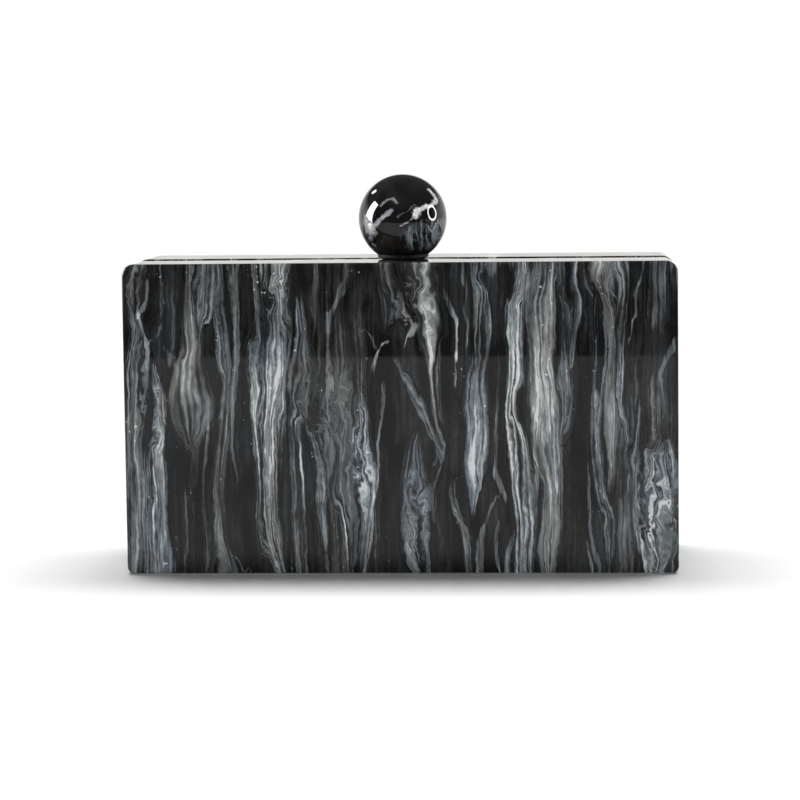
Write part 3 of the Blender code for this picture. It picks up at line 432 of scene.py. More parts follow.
def layout_group():
    """The drawn layout of veins. It gives the place within the flow, the strength, softness and warmth."""
    group, n = new_group("vein_layout", {"Place": "Vector"}, LAYOUT_GIVES)
    place = n.add("NodeGroupInput").outputs[0]
    across, along, through = n.split(place)
    sway = n.swing((place, 0.060, 0.030, 0.05, 7.7))
    curl = n.swing((place, 0.26, 0.065, 0.2, 11.9))
    fray = n.swing((place, 1.1, 0.32, 0.6, 15.1))
    shift = n.sum(n.mul(sway, 2.2), n.sum(n.mul(curl, 2.2), n.mul(fray, 0.8)))
    moved = n.sum(across, shift)
    lift = n.swing((place, 0.30, 0.03, 0.1, 19.3))
    raised = n.sum(along, n.mul(lift, 11.0))
    share = n.clamp(n.math("DIVIDE", raised, MM_HEIGHT))
    rise = n.add("ShaderNodeCombineColor", {0: share, 1: share, 2: share}).outputs[0]
    strength, manner = None, n.vector(moved, 0.5, 0.5)
    order = 0
    for kind, veins in (("smoke", SMOKE), ("vein", VEINS), ("thread", THREADS)):
        for softness, warmth, run in veins:
            order += 1
            if order % CHUNK == 0:
                # Makes the next veins wait for these, so that few values are held at once.
                late = n.math("MULTIPLY_ADD", strength, 1e-9, share)
                rise = n.add("ShaderNodeCombineColor", {0: late, 1: late, 2: late}).outputs[0]
            centre, half, drawn = vein_curve(n, rise, run)
            offset = n.math("DIVIDE", n.sub(moved, centre), half)
            reach = n.math("ABSOLUTE", offset)
            fade = (0.30 if kind == "thread" else 0.42) + 0.5 * softness
            cover = n.smooth(reach, 1.0 - fade, 1.0 + fade, 1.0, 0.0)
            if kind == "smoke":
                shown = n.mul(cover, drawn)
                strength = shown if strength is None else n.math("MAXIMUM", strength, shown)
                manner_here = n.vector(moved, softness, 0.5 + 0.5 * warmth)
                manner = n.mix_vector(n.mul(cover, 0.8), manner, manner_here)
            elif kind == "vein":
                strength = n.math("MAXIMUM", strength, n.mul(cover, drawn))
                breadth = sum(station[2] for station in run) / len(run)
                own = n.math("MULTIPLY_ADD", offset, breadth, 31.7 * order)
                manner_here = n.vector(own, softness, 0.5 + 0.5 * warmth)
                gate = n.math("MULTIPLY", n.mul(cover, drawn), 12.0, clamp=True)
                manner = n.mix_vector(gate, manner, manner_here)
            else:
                strength = n.math("MAXIMUM", strength, n.mul(cover, drawn))
    flow_x, soft, warm = n.split(manner)
    curly = 0.0
    for middle, height, reach_x, reach_z in CURLS:
        aside, above = n.mul(n.sub(across, middle), 1 / reach_x), n.mul(n.sub(along, height), 1 / reach_z)
        place_here = n.vector(aside, above, 0.0)
        away = n.vector_math("LENGTH", place_here)
        curly = n.math("MAXIMUM", curly, n.smooth(away, 0.35, 1.0, 1.0, 0.0))
    flow = n.vector(flow_x, along, through)
    n.add("NodeGroupOutput", {0: flow, 1: strength, 2: n.vector(soft, warm, curly)})
    return group


def loose_layout_group():
    """Veins without a drawn layout, for the narrow strips."""
    group, n = new_group("loose_layout", {"Place": "Vector"}, LAYOUT_GIVES)
    place = n.add("NodeGroupInput").outputs[0]
    across, along, through = n.split(place)
    sway = n.swing((place, 0.06, 0.03, 0.05, 7.7))
    curl = n.swing((place, 0.3, 0.12, 0.2, 11.9), 3.0, 0.6)
    moved = n.sum(across, n.sum(n.mul(sway, 7.0), n.mul(curl, 2.4)))
    flow = n.vector(moved, along, through)
    wide = n.noise((flow, 0.085, 0.012, 0.1, 3.3), 3.0, 0.6)
    narrow = n.noise((flow, 0.30, 0.02, 0.1, 5.9))
    strength = n.smooth(n.sum(n.mul(wide, 0.7), n.mul(narrow, 0.3)), 0.42, 0.62)
    soft = n.smooth(n.noise((flow, 0.05, 0.01, 0.1, 8.1), 1.0), 0.40, 0.64)
    warm = n.smooth(n.noise((flow, 0.06, 0.01, 0.1, 9.7), 1.0), 0.36, 0.64)
    n.add("NodeGroupOutput", {0: flow, 1: strength, 2: n.vector(soft, warm, 0.3)})
    return group


def marble_group():
    """The substance of the veins: strands, clefts, smoke and crumbs, with their colours."""
    group, n = new_group("streaked_marble", LAYOUT_GIVES, {"Colour": "Color", "Veins": "Float"})
    flow, strength, manner = n.add("NodeGroupInput").outputs[:3]
    soft, warm, curly = n.split(manner)
    across, along, through = n.split(flow)

    # Strands that wave a little on their own, within the vein they belong to.
    wave = n.swing((flow, 0.13, 0.034, 0.2, 17.0))
    quiver = n.swing((flow, 0.45, 0.08, 0.2, 19.0))
    swirl = n.swing((flow, 0.26, 0.105, 0.2, 21.0), 2.0, 0.55, 0.5)
    bend = n.sum(n.mul(wave, 2.8), n.sum(n.mul(quiver, 0.8), n.mul(swirl, n.mul(curly, 8.5))))
    flow = n.vector(n.sum(across, bend), along, through)
    coarse = n.noise((flow, 0.42, 0.014, 0.2, 23.0))
    fine = n.noise((flow, 1.30, 0.022, 0.4, 31.0))
    ragged = n.noise((flow, 1.1, 0.26, 0.4, 47.0), 3.0, 0.6, 0.6)
    cloud = n.noise((flow, 0.20, 0.045, 0.2, 41.0), 4.0, 0.55, 0.6)
    strand = n.sum(n.mul(coarse, 0.34), n.sum(n.mul(fine, 0.44), n.mul(ragged, 0.22)))
    strand = n.scale_range(strand, 0.40, 0.60)
    smoke = n.scale_range(n.sum(n.mul(cloud, 0.66), n.mul(fine, 0.36)), 0.38, 0.64)
    texture = n.mix(n.mul(soft, 0.8), strand, smoke)

    # Bright hairs and dark clefts between strands.
    hair = n.noise((flow, 0.95, 0.018, 0.1, 53.0))
    hair = n.mul(n.smooth(hair, 0.53, 0.66), n.smooth(fine, 0.38, 0.56))
    thread = n.ridge(n.noise((flow, 0.36, 0.012, 0.1, 61.0)), 0.026)
    cleft = n.smooth(n.noise((flow, 0.70, 0.017, 0.3, 67.0)), 0.37, 0.47)
    cleft = n.mix(n.math("MAXIMUM", n.mul(soft, 0.75), n.mul(strength, 0.35)), cleft, 1.0)
    stringy = n.sub(1.0, n.mul(soft, 0.7))
    detail = n.sum(n.mul(hair, 0.46), n.mul(thread, 0.24))
    body = n.sum(n.mul(n.sub(texture, 0.5), 0.95), 0.56)
    body = n.sum(body, n.mul(detail, stringy))
    mottle = n.noise((flow, 1.30, 0.14, 0.5, 79.0), 3.0, 0.65)
    body = n.mul(body, n.scale_range(mottle, 0.35, 0.65, 0.86, 1.14))

    # A vein frays into strands where it grows weak.
    frayed = n.sum(n.mul(strength, 1.7), n.mul(n.sub(strand, 0.5), n.mul(stringy, 1.1)))
    frayed = n.mul(n.smooth(frayed, 0.05, 0.66), n.smooth(strength, 0.02, 0.14))
    gain = n.sum(n.mul(n.power(strength, 0.8), 0.90), 0.10)
    veins = n.mul(n.mul(body, gain), n.sum(n.mul(cleft, 0.74), 0.26))
    veins = n.mul(veins, frayed)

    # Smoke and faint strands in the clear black, and a few white crumbs.
    drift = n.noise((flow, 0.055, 0.022, 0.05, 71.0), 4.0, 0.6, 0.6)
    faint = n.mul(n.smooth(drift, 0.36, 0.62), n.sum(n.mul(strand, 0.16), n.mul(thread, 0.10)))
    veins = n.math("MAXIMUM", veins, n.mul(faint, n.sum(n.mul(cleft, 0.7), 0.3)))
    veins = n.sum(n.math("MAXIMUM", veins, 0.0), n.mul(n.smooth(drift, 0.42, 0.70), 0.08))
    scatter = n.noise((flow, 1.7, 1.3, 0.5, 89.0), 2.0, 0.6)
    place = n.vector(n.sum(n.mul(n.split(flow)[0], 0.80), n.mul(scatter, 0.9)), n.mul(along, 0.55), through)
    cells = n.add("ShaderNodeTexVoronoi", {"Vector": place, "Scale": 1.0})
    crumb = n.smooth(cells.outputs["Distance"], 0.08, 0.32, 1.0, 0.0)
    chosen = n.smooth(n.split(cells.outputs["Color"])[0], 0.62, 1.0)
    cluster = n.smooth(n.noise((flow, 0.12, 0.040, 0.1, 83.0)), 0.55, 0.64)
    veins = n.clamp(n.sum(veins, n.mul(n.mul(crumb, chosen), n.mul(cluster, 0.80))))

    cool = n.ramp(
        veins,
        (
            (0.00, (0.0034, 0.0036, 0.0040)),
            (0.20, (0.025, 0.0275, 0.0305)),
            (0.45, (0.096, 0.116, 0.134)),
            (0.75, (0.236, 0.273, 0.300)),
            (1.00, (0.540, 0.580, 0.590)),
        ),
    )
    creamy = n.ramp(
        veins,
        (
            (0.00, (0.0047, 0.0042, 0.0037)),
            (0.20, (0.031, 0.029, 0.0265)),
            (0.45, (0.118, 0.114, 0.102)),
            (0.75, (0.275, 0.275, 0.248)),
            (1.00, (0.560, 0.570, 0.540)),
        ),
    )
    tint = n.swing((flow, 0.14, 0.03, 0.1, 73.0), 3.0)
    colour = n.mix_colour(n.clamp(n.sum(n.sub(warm, 0.10), n.mul(tint, 1.5))), cool, creamy)
    n.add("NodeGroupOutput", {0: colour, 1: veins})
    return group


def marble_at(n, layout, marble, place):
    """Colour and vein strength of the marble at a place across, along and through its streaks."""
    laid = n.add("ShaderNodeGroup", {0: place}, node_tree=layout).outputs
    return n.add("ShaderNodeGroup", dict(enumerate(laid)), node_tree=marble).outputs


def polish(n, shader, veins, mm):
    """Polished acrylic: a little waviness, hairline scratches and a slightly duller finish on the veins."""
    wave = n.noise((mm, 0.05, 0.05, 0.05, 5.0))
    hair = n.ridge(n.noise((mm, 1.9, 0.06, 0.09, 13.0)), 0.006)
    cross = n.ridge(n.noise((mm, 0.08, 0.05, 1.7, 17.0)), 0.005)
    where = n.smooth(n.noise((mm, 0.03, 0.03, 0.03)), 0.5, 0.7)
    scratch = n.mul(n.math("MAXIMUM", hair, cross), where)
    rough = n.sum(n.mul(veins, 0.03), n.sum(n.mul(scratch, 0.08), 0.022))
    height = n.sum(n.mul(wave, 0.9), n.mul(scratch, -0.002))
    n.feed(shader, {"Roughness": rough, "Normal": n.bump(height, 0.00002, 0.5)})
    n.feed(shader, {"IOR": 1.49, "Specular IOR Level": 0.38})


def sheet_material(name, layout, marble, turned_over):
    """Marble for a flat sheet. The rear one is the same sheet upside down and shifted sideways."""
    made, n, shader = new_material(name)
    mm = n.in_mm()
    x, y, z = n.split(mm)
    if turned_over:
        half = MM_WIDTH / 2
        across = n.math("WRAP", n.sum(x, REAR_SHIFT), half, -half)
        place = n.vector(across, n.sub(MM_HEIGHT, z), n.sum(n.mul(y, 0.3), 300.0))
    else:
        place = n.vector(x, z, n.mul(y, 0.3))
    colour, veins = marble_at(n, layout, marble, place)
    n.feed(shader, {"Base Color": colour})
    polish(n, shader, veins, mm)
    return made


def rim_material(name, layout, marble, seed):
    """Marble for a rim: streaks cross its top and bottom, and stand upright on its sides."""
    made, n, shader = new_material(name)
    mm = n.in_mm()
    x, y, z = n.split(mm)
    normal = n.split(n.add("ShaderNodeNewGeometry").outputs["Normal"])
    sideways = n.smooth(n.math("ABSOLUTE", normal[0]), 0.55, 0.85)
    top_place = n.vector(x, n.mul(y, 1.5), n.sum(n.mul(z, 0.1), seed))
    top = marble_at(n, layout, marble, top_place)
    hand = n.math("SIGN", x)
    side_place = n.vector(n.sum(n.mul(hand, 45.0), y), z, n.sum(n.mul(hand, 9.0), seed))
    side = marble_at(n, layout, marble, side_place)
    n.feed(shader, {"Base Color": n.mix_colour(sideways, top[0], side[0])})
    polish(n, shader, n.mix(sideways, top[1], side[1]), mm)
    return made


# The veins on the ball: points to the right of its centre and above it, in millimetres, as seen from the
# front, with the vein's half width and brightness.
BALL_VEINS = (
    (((9.8, 10.5), (11.6, 8.5), (12.4, 7.0), (10.7, 5.3)), 0.85, 1.0),
    (((10.7, 5.3), (8.1, 4.7), (6.1, 3.6), (4.9, 2.3)), 0.78, 1.0),
    (((5.2, 3.0), (4.6, 1.6)), 1.05, 1.0),
    (((4.9, 2.1), (2.6, -0.2), (-0.9, -2.2)), 0.26, 0.55),
    (((-2.0, 0.8), (2.6, 3.6), (4.5, 5.2)), 0.30, 0.28),
    (((-7.9, 5.3), (-5.3, 7.3), (-3.5, 7.6), (-2.4, 6.4)), 0.50, 0.48),
    (((-4.4, 3.0), (-7.3, 0.9), (-10.2, -1.9)), 0.75, 0.68),
    (((-12.9, 0.2), (-12.6, -3.2)), 2.4, 0.75),
    (((-10.2, -1.9), (-12.0, -7.0)), 0.9, 0.45),
    (((12.8, -0.6), (14.4, -3.6)), 0.45, 0.5),
)
BALL_FACING = math.radians(4.5)


def ball_point(right, up):
    """The point of the ball that is seen there, from a little to the right of the front."""
    radius = KNOB_RADIUS / MM
    depth = math.sqrt(max(radius * radius - right * right - up * up, 0.0))
    return Matrix.Rotation(BALL_FACING, 3, "Z") @ Vector((right, -depth, up))


def segment_distance(n, point, start, end):
    """Distance from a point to a straight stretch between two places."""
    run = end - start
    from_start = n.vector_math("SUBTRACT", point, start)
    dot = n.vector_math("DOT_PRODUCT", from_start, run)
    share = n.math("MULTIPLY", dot, 1 / run.length_squared, clamp=True)
    return n.vector_math("DISTANCE", from_start, n.vector_math("SCALE", run, share))


def ball_material():
    made, n, shader = new_material("marble_ball")
    mm = n.in_mm()
    local = n.vector_math("SUBTRACT", mm, KNOB_CENTRE / MM)
    wander = n.noise((local, 0.33, 0.33, 0.33, 2.0), 3.0, 0.6, colour=True)
    wander = n.vector_math("SCALE", n.vector_math("SUBTRACT", wander, (0.5, 0.5, 0.5)), 1.7)
    warped = n.vector_math("ADD", local, wander)
    swell = n.sum(n.mul(n.noise((local, 0.7, 0.7, 0.7, 9.0)), 1.5), 0.30)
    veins = None
    for points, half, brightness in BALL_VEINS:
        ends = [ball_point(*point) for point in points]
        near = None
        for start, end in zip(ends, ends[1:]):
            distance = segment_distance(n, warped, start, end)
            near = distance if near is None else n.math("MINIMUM", near, distance)
        reach = n.math("DIVIDE", near, swell)
        line = n.smooth(reach, half * 0.55, half * 1.6, brightness, 0.0)
        veins = line if veins is None else n.math("MAXIMUM", veins, line)
    x, y, z = n.split(local)
    streak = n.noise((warped, 0.80, 0.15, 0.10, 15.0), 4.0, 0.65, 0.7)
    streak = n.smooth(n.sum(streak, n.smooth(x, 2.0, 12.0, 0.0, 0.06)), 0.45, 0.68)
    hanging = n.sum(z, n.smooth(x, 9.0, -1.0, 0.0, 4.2))
    low = n.mul(n.smooth(hanging, 0.9, -1.2), n.smooth(z, -12.5, -8.0))
    right = n.mul(n.smooth(x, -0.5, 3.0), n.smooth(y, 6.0, -4.0))
    streak = n.mul(streak, n.mul(low, right))
    behind = n.smooth(y, -4.0, 4.0)
    drift = n.ridge(n.noise((warped, 0.09, 0.09, 0.05, 27.0), 3.0, 0.6), 0.05)
    wisp = n.noise((warped, 0.5, 0.5, 0.16, 33.0), 4.0, 0.6)
    drift = n.mul(n.mul(drift, n.smooth(wisp, 0.40, 0.60)), behind)
    grain = n.smooth(n.noise((local, 1.6, 1.6, 1.6, 39.0), 3.0, 0.6), 0.3, 0.65, 0.55, 1.0)
    bright = n.mul(n.math("MAXIMUM", veins, n.mul(drift, 0.7)), grain)
    colour = n.ramp(
        bright,
        (
            (0.00, (0.0045, 0.0040, 0.0036)),
            (0.22, (0.060, 0.060, 0.066)),
            (0.55, (0.30, 0.30, 0.33)),
            (1.00, (0.86, 0.88, 0.86)),
        ),
    )
    colour = n.mix_colour(n.mul(streak, 0.80), colour, (0.24, 0.30, 0.32, 1.0))
    haze = n.smooth(n.noise((local, 0.12, 0.12, 0.12, 45.0), 3.0), 0.45, 0.75)
    colour = n.mix_colour(n.mul(haze, 0.02), colour, (0.45, 0.42, 0.38, 1.0))
    polish(n, shader, n.clamp(n.sum(bright, streak)), mm)
    n.feed(shader, {"Base Color": colour, "Specular IOR Level": 0.5})
    return made


def collar_material():
    """The same acrylic left unpolished: near black, with a fine satin grain."""
    made, n, shader = new_material("satin_collar")
    mm = n.in_mm()
    grain = n.noise((mm, 0.9, 0.9, 2.4, 5.0), 4.0, 0.6)
    cloud = n.smooth(n.noise((mm, 0.22, 0.22, 0.22, 11.0), 3.0), 0.4, 0.7)
    tone = n.clamp(n.sum(n.mul(cloud, 0.6), n.mul(n.sub(grain, 0.5), 0.8)))
    colour = n.mix_colour(tone, (0.004, 0.004, 0.005, 1.0), (0.016, 0.016, 0.018, 1.0))
    n.feed(shader, {"Base Color": colour, "Roughness": n.sum(n.mul(grain, 0.15), 0.55)})
    n.feed(shader, {"Normal": n.bump(grain, 0.00002, 0.5), "Specular IOR Level": 0.15})
    return made


# ---- metal and suede ----


def metal_material(name, bright, worn, brushed, roughness):
    """Plated or turned metal, with fine brushing, smudges and small dark pits."""
    made, n, shader = new_material(name)
    mm = n.in_mm()
    grain = n.noise((mm, *brushed), 3.0, 0.6)
    smudge = n.noise((mm, 0.22, 0.22, 0.22, 8.0), 3.0, 0.55)
    pits = n.smooth(n.noise((mm, 3.1, 3.1, 3.1, 4.0)), 0.70, 0.78)
    tone = n.clamp(n.sum(n.smooth(smudge, 0.35, 0.75), n.mul(n.sub(grain, 0.5), 0.5)))
    colour = n.mix_colour(tone, (*bright, 1.0), (*worn, 1.0))
    colour = n.mix_colour(n.mul(pits, 0.6), colour, (*[part * 0.25 for part in worn], 1.0))
    rough = n.sum(n.mul(smudge, 0.16), n.sum(n.mul(grain, 0.12), roughness - 0.12))
    height = n.sub(n.mul(grain, 0.5), n.mul(pits, 0.8))
    n.feed(shader, {"Base Color": colour, "Metallic": 1.0, "Roughness": rough})
    n.feed(shader, {"Normal": n.bump(height, 0.00002, 0.5)})
    return made


def suede_material():
    """Black suede: short nap that lies in patches, with a soft sheen."""
    made, n, shader = new_material("black_suede")
    mm = n.in_mm()
    patches = n.noise((mm, 0.06, 0.06, 0.05, 6.0), 4.0, 0.6, 0.6)
    nap = n.noise((mm, 3.2, 3.2, 2.0, 2.0), 4.0, 0.7)
    pile = n.noise((mm, 9.0, 9.0, 7.0), 2.0, 0.6)
    tone = n.clamp(n.sum(n.smooth(patches, 0.38, 0.66), n.mul(n.sub(nap, 0.5), 0.9)))
    colour = n.mix_colour(tone, (0.009, 0.009, 0.010, 1.0), (0.021, 0.0205, 0.022, 1.0))
    height = n.sum(n.mul(nap, 0.7), n.mul(pile, 0.5))
    n.feed(shader, {"Base Color": colour, "Roughness": n.sum(n.mul(nap, 0.15), 0.80)})
    n.feed(shader, {"Normal": n.bump(height, 0.00025, 0.8), "Specular IOR Level": 0.15})
    n.feed(shader, {"Sheen Weight": 0.35, "Sheen Roughness": 0.45, "Sheen Tint": (0.55, 0.55, 0.60, 1.0)})
    return made


# ---- pieces ----


def show(obj, node, material):
    """Lets a piece stand for a CAD node: same body and the given material."""
    obj.data.materials.clear()
    obj.data.materials.append(material)
    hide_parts(node)
    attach(obj, frame["nodes"][node]["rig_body"])
    return obj


def mesh_object(name, bm, smooth_angle=30):
    mesh = bpy.data.meshes.new(name)
    bm.to_mesh(mesh)
    bm.free()
    mesh.shade_smooth()
    mesh.set_sharp_from_angle(angle=math.radians(smooth_angle))
    obj = bpy.data.objects.new(name, mesh)
    bpy.context.scene.collection.objects.link(obj)
    return obj


def flatten_shading(obj):
    """Keeps the flat faces optically flat beside their rounded edges."""
    modifier = obj.modifiers.new("flat_faces", "WEIGHTED_NORMAL")
    modifier.mode = "FACE_AREA"
    modifier.weight = 100
    modifier.keep_sharp = True
    return obj


def welded(node):
    """A CAD node's surface as one welded skin, with its flat areas whole again."""
    bm = bmesh.new()
    bm.from_mesh(frame["nodes"][node].data)
    bmesh.ops.remove_doubles(bm, verts=bm.verts, dist=1e-6)
    bmesh.ops.dissolve_limit(bm, angle_limit=math.radians(0.5), verts=bm.verts, edges=bm.edges)
    bmesh.ops.recalc_face_normals(bm, faces=bm.faces)
    return bm


def refined(node, bevel=0.0):
    """A copy of a CAD node with smooth round stretches and, for metal, softened edges."""
    obj = mesh_object(f"{node}_skin", welded(node))
    if bevel:
        modifier = obj.modifiers.new("soft_edges", "BEVEL")
        modifier.width = bevel
        modifier.segments = 2
        modifier.limit_method = "ANGLE"
        modifier.angle_limit = math.radians(35)
        modifier.use_clamp_overlap = True
        modifier.harden_normals = True
    return flatten_shading(obj)


def glued_rim(node):
    """The rim reaches its panel, apart from a hairline where the two are glued."""
    low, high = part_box(node)
    outward = 1 if high.y > 0 else -1
    glued = high.y if outward > 0 else low.y
    panel_back = REAR_LOW.y if outward > 0 else PANEL_HIGH.y
    bm = welded(node)
    for vert in bm.verts:
        if abs(vert.co.y - glued) < 1e-5:
            vert.co.y = panel_back - outward * 0.04 * MM
    return flatten_shading(mesh_object(f"{node}_skin", bm))


def turned(name, profile, turns):
    """A solid turned about the ball's upright axis. Its profile is closed, or runs from axis to axis."""
    bm = bmesh.new()
    verts = [bm.verts.new((radius, 0, z)) for radius, z in profile]
    edges = [bm.edges.new(pair) for pair in zip(verts, verts[1:])]
    if profile[0][0] > 0:
        edges.append(bm.edges.new((verts[-1], verts[0])))
    middle, up = (0, 0, 0), (0, 0, 1)
    bmesh.ops.spin(
        bm, geom=verts + edges, cent=middle, axis=up, angle=math.tau, steps=turns, use_merge=True
    )
    bmesh.ops.remove_doubles(bm, verts=bm.verts, dist=1e-8)
    bmesh.ops.recalc_face_normals(bm, faces=bm.faces)
    return mesh_object(name, bm)


def fine_ball():
    """The ball with a fine profile. Its foot is flat, with a hole for the stud."""
    foot = KNOB_LOW.z - KNOB_CENTRE.z
    foot_angle = math.asin(foot / KNOB_RADIUS)
    hole_radius, hole_top = 2.3 * MM, foot + 8.6 * MM
    steps, edge = 72, 0.012
    profile = [(0.0, hole_top), (hole_radius, hole_top), (hole_radius, foot)]
    profile.append((KNOB_RADIUS * math.cos(foot_angle) - 0.15 * MM, foot))
    for i in range(steps):
        angle = foot_angle + edge + (math.pi / 2 - foot_angle - edge) * i / steps
        profile.append((KNOB_RADIUS * math.cos(angle), KNOB_RADIUS * math.sin(angle)))
    profile.append((0.0, KNOB_RADIUS))
    return turned("ball_knob_skin", [(radius, KNOB_CENTRE.z + z) for radius, z in profile], 144)


def seated_spacer():
    """The spacer, with its collar pulled up tight to the ball's foot."""
    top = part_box("knob_spacer")[1].z
    bm = welded("knob_spacer")
    for vert in bm.verts:
        if abs(vert.co.z - top) < 1e-5:
            vert.co.z = KNOB_LOW.z - 0.004 * MM
    return flatten_shading(mesh_object("knob_spacer_skin", bm))


def knob_felt():
    """A thin black felt washer that keeps the ball's collar off the polished top."""
    low, high = HEIGHT + 0.004 * MM, COLLAR_LOW - 0.004 * MM
    inner, outer, edge = 3.7 * MM, 8.0 * MM, 0.06 * MM
    profile = [(inner, low), (outer - edge, low), (outer, low + edge), (outer, high - edge)]
    return turned("knob_felt_washer", [*profile, (outer - edge, high), (inner, high)], 96)


def seam_shade_felt(hand):
    """A thin strip of black felt in the seam, glued to the rear half, along one side and half of the top.
    It is also painted shade: dark felt that makes the seam read as a dark line.
    """
    corner, foot, middle_end = 4.2, 8.0, 5.0
    front, back = -0.26 * MM, 0.29 * MM
    outline = []
    for inset, turn in ((1.0, 1), (2.6, -1)):
        radius = corner - inset
        side, top = HALF_WIDTH / MM - inset, HEIGHT / MM - inset
        path = [(side, foot)]
        for k in range(9):
            angle = math.pi / 2 * k / 8
            path.append((side - radius + radius * math.cos(angle), top - radius + radius * math.sin(angle)))
        path.append((middle_end, top))
        outline += path[::turn]
    bm = bmesh.new()
    faces = [[bm.verts.new((hand * x * MM, y, z * MM)) for x, z in outline] for y in (front, back)]
    for ring in faces:
        bm.faces.new(ring)
    for k in range(len(outline)):
        bm.faces.new((faces[0][k - 1], faces[0][k], faces[1][k], faces[1][k - 1]))
    bmesh.ops.recalc_face_normals(bm, faces=bm.faces)
    return mesh_object("seam_felt_left" if hand < 0 else "seam_felt_right", bm)


def lining_pad(node):
    """A suede-covered pad: crowned in the middle, with rounded edges and faint ripples in the cloth."""
    low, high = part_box(node)
    inward = -1 if high.y > 0 else 1
    back = high.y if inward < 0 else low.y
    thickness, radius = high.y - low.y, 3.0 * MM
    half_x, half_z = (high.x - low.x) / 2, (high.z - low.z) / 2
    columns, rows = 150, 84
    bm = bmesh.new()

    def height(x, z):
        """How far the pad's face stands off its back, from its distance to the rounded outline."""
        dx = max(abs(x) - (half_x - radius), 0.0)
        dz = max(abs(z) - (half_z - radius), 0.0)
        outside = math.hypot(dx, dz)
        inside = min(half_x - abs(x), half_z - abs(z)) if outside == 0 else radius - outside
        share = min(max(inside / (1.4 * MM), 0.0), 1.0)
        edge = math.sqrt(max(1 - (1 - share) ** 2, 0.0))
        crown = (1 - (x / half_x) ** 4) * (1 - (z / half_z) ** 4)
        ripple = noise.noise(Vector((x * 60, z * 90, back * 400))) * 0.10 * MM
        return edge * (thickness * (0.80 + 0.20 * crown) + ripple * share - 0.05 * MM)

    def outline(u, w):
        """Maps a square grid onto the pad's rounded rectangle, closer together at its edges."""
        x = math.sin(u * math.pi / 2) * 0.35 + u * 0.65
        z = math.sin(w * math.pi / 2) * 0.35 + w * 0.65
        px, pz = x * half_x, z * half_z
        corner_x, corner_z = half_x - radius, half_z - radius
        over_x, over_z = abs(px) - corner_x, abs(pz) - corner_z
        if over_x > 0 and over_z > 0:
            reach = max(over_x, over_z) / math.hypot(over_x, over_z)
            px = math.copysign(corner_x + over_x * reach, px)
            pz = math.copysign(corner_z + over_z * reach, pz)
        return px, pz

    centre_x, centre_z = (high.x + low.x) / 2, (high.z + low.z) / 2
    sheets = []
    for face in (True, False):
        grid = []
        for j in range(rows + 1):
            line = []
            for i in range(columns + 1):
                x, z = outline(2 * i / columns - 1, 2 * j / rows - 1)
                stand = height(x, z) if face else 0.0
                line.append(bm.verts.new((centre_x + x, back + inward * stand, centre_z + z)))
            grid.append(line)
        for j in range(rows):
            for i in range(columns):
                corners = (grid[j][i], grid[j][i + 1], grid[j + 1][i + 1], grid[j + 1][i])
                bm.faces.new(corners if face else corners[::-1])
        sheets.append(grid)
    bmesh.ops.remove_doubles(bm, verts=bm.verts, dist=1e-6)
    bmesh.ops.recalc_face_normals(bm, faces=bm.faces)
    return mesh_object(f"{node}_pad", bm, 60)


def build_pieces():
    marble = marble_group()
    drawn, loose = layout_group(), loose_layout_group()
    looks = {
        "front_panel": sheet_material("marble_front", drawn, marble, False),
        "rear_panel": sheet_material("marble_rear", drawn, marble, True),
        "front_rim": rim_material("marble_front_rim", loose, marble, 120.0),
        "rear_rim": rim_material("marble_rear_rim", loose, marble, 210.0),
        "ball_knob": ball_material(),
        "knob_spacer": collar_material(),
        "gold_brass": metal_material(
            "gold_plate", (0.90, 0.66, 0.31), (0.62, 0.42, 0.17), (0.5, 2.6, 2.6), 0.20
        ),
        "bright_steel": metal_material(
            "bright_steel", (0.66, 0.66, 0.67), (0.40, 0.40, 0.42), (0.8, 0.8, 6.0), 0.26
        ),
        "suede_lining": suede_material(),
    }
    slots = {part["node"]: part["material_slot"] for part in frame["record"]["subparts"]}
    for node in sorted(frame["nodes"]):
        slot = slots[node]
        if node.endswith("_rim"):
            piece = glued_rim(node)
        elif node.endswith("_lining"):
            piece = lining_pad(node)
        elif node == "ball_knob":
            piece = fine_ball()
        elif node == "knob_spacer":
            piece = seated_spacer()
        elif node.endswith("_panel"):
            piece = refined(node)
        else:
            piece = refined(node, 0.06 * MM)
        show(piece, node, looks.get(node, looks.get(slot)))
    # The seam strips are felt and also painted shade: they make the seam read as a dark line.
    for felt, body in ((knob_felt(), "clasp"), (seam_shade_felt(-1), "rear_shell"), (seam_shade_felt(1), "rear_shell")):
        felt.data.materials.append(looks["suede_lining"])
        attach(felt, body)


# ---- stage ----


def stage_material(name, colour, emission=0.0):
    made, n, shader = new_material(name)
    base = (0.0, 0.0, 0.0, 1.0) if emission else (*colour, 1.0)
    n.feed(shader, {"Base Color": base, "Roughness": 0.8, "Specular IOR Level": 0.0})
    n.feed(shader, {"Emission Color": (*colour, 1.0), "Emission Strength": emission})
    return made


def flat(name, corners, material):
    mesh = bpy.data.meshes.new(name)
    mesh.from_pydata([Vector(corner) for corner in corners], [], [tuple(range(len(corners)))])
    mesh.materials.append(material)
    obj = bpy.data.objects.new(name, mesh)
    bpy.context.scene.collection.objects.link(obj)
    return obj


def only_for(obj, *rays):
    """Which kinds of ray see a stage piece or a lamp."""
    for ray in ("camera", "diffuse", "glossy", "transmission", "volume_scatter", "shadow"):
        setattr(obj, f"visible_{ray}", ray in rays)


def lay_floor():
    white = stage_material("white_table", (0.90, 0.90, 0.90))
    reach = 6.0
    corners = [(-reach, -reach, 0), (reach, -reach, 0), (reach, reach, 0), (-reach, reach, 0)]
    floor = flat("floor", corners, white)
    only_for(floor, "camera", "diffuse", "transmission", "volume_scatter", "shadow")
    # The table that polished faces mirror: a smaller, greyer one, with a dark room past its edge.
    near, side, far = -0.70, 0.62, 0.60
    corners = [(-side, near, 0.0002), (side, near, 0.0002), (side, far, 0.0002), (-side, far, 0.0002)]
    table = flat("mirrored_table", corners, stage_material("grey_table", (0.50, 0.50, 0.51)))
    only_for(table, "glossy")


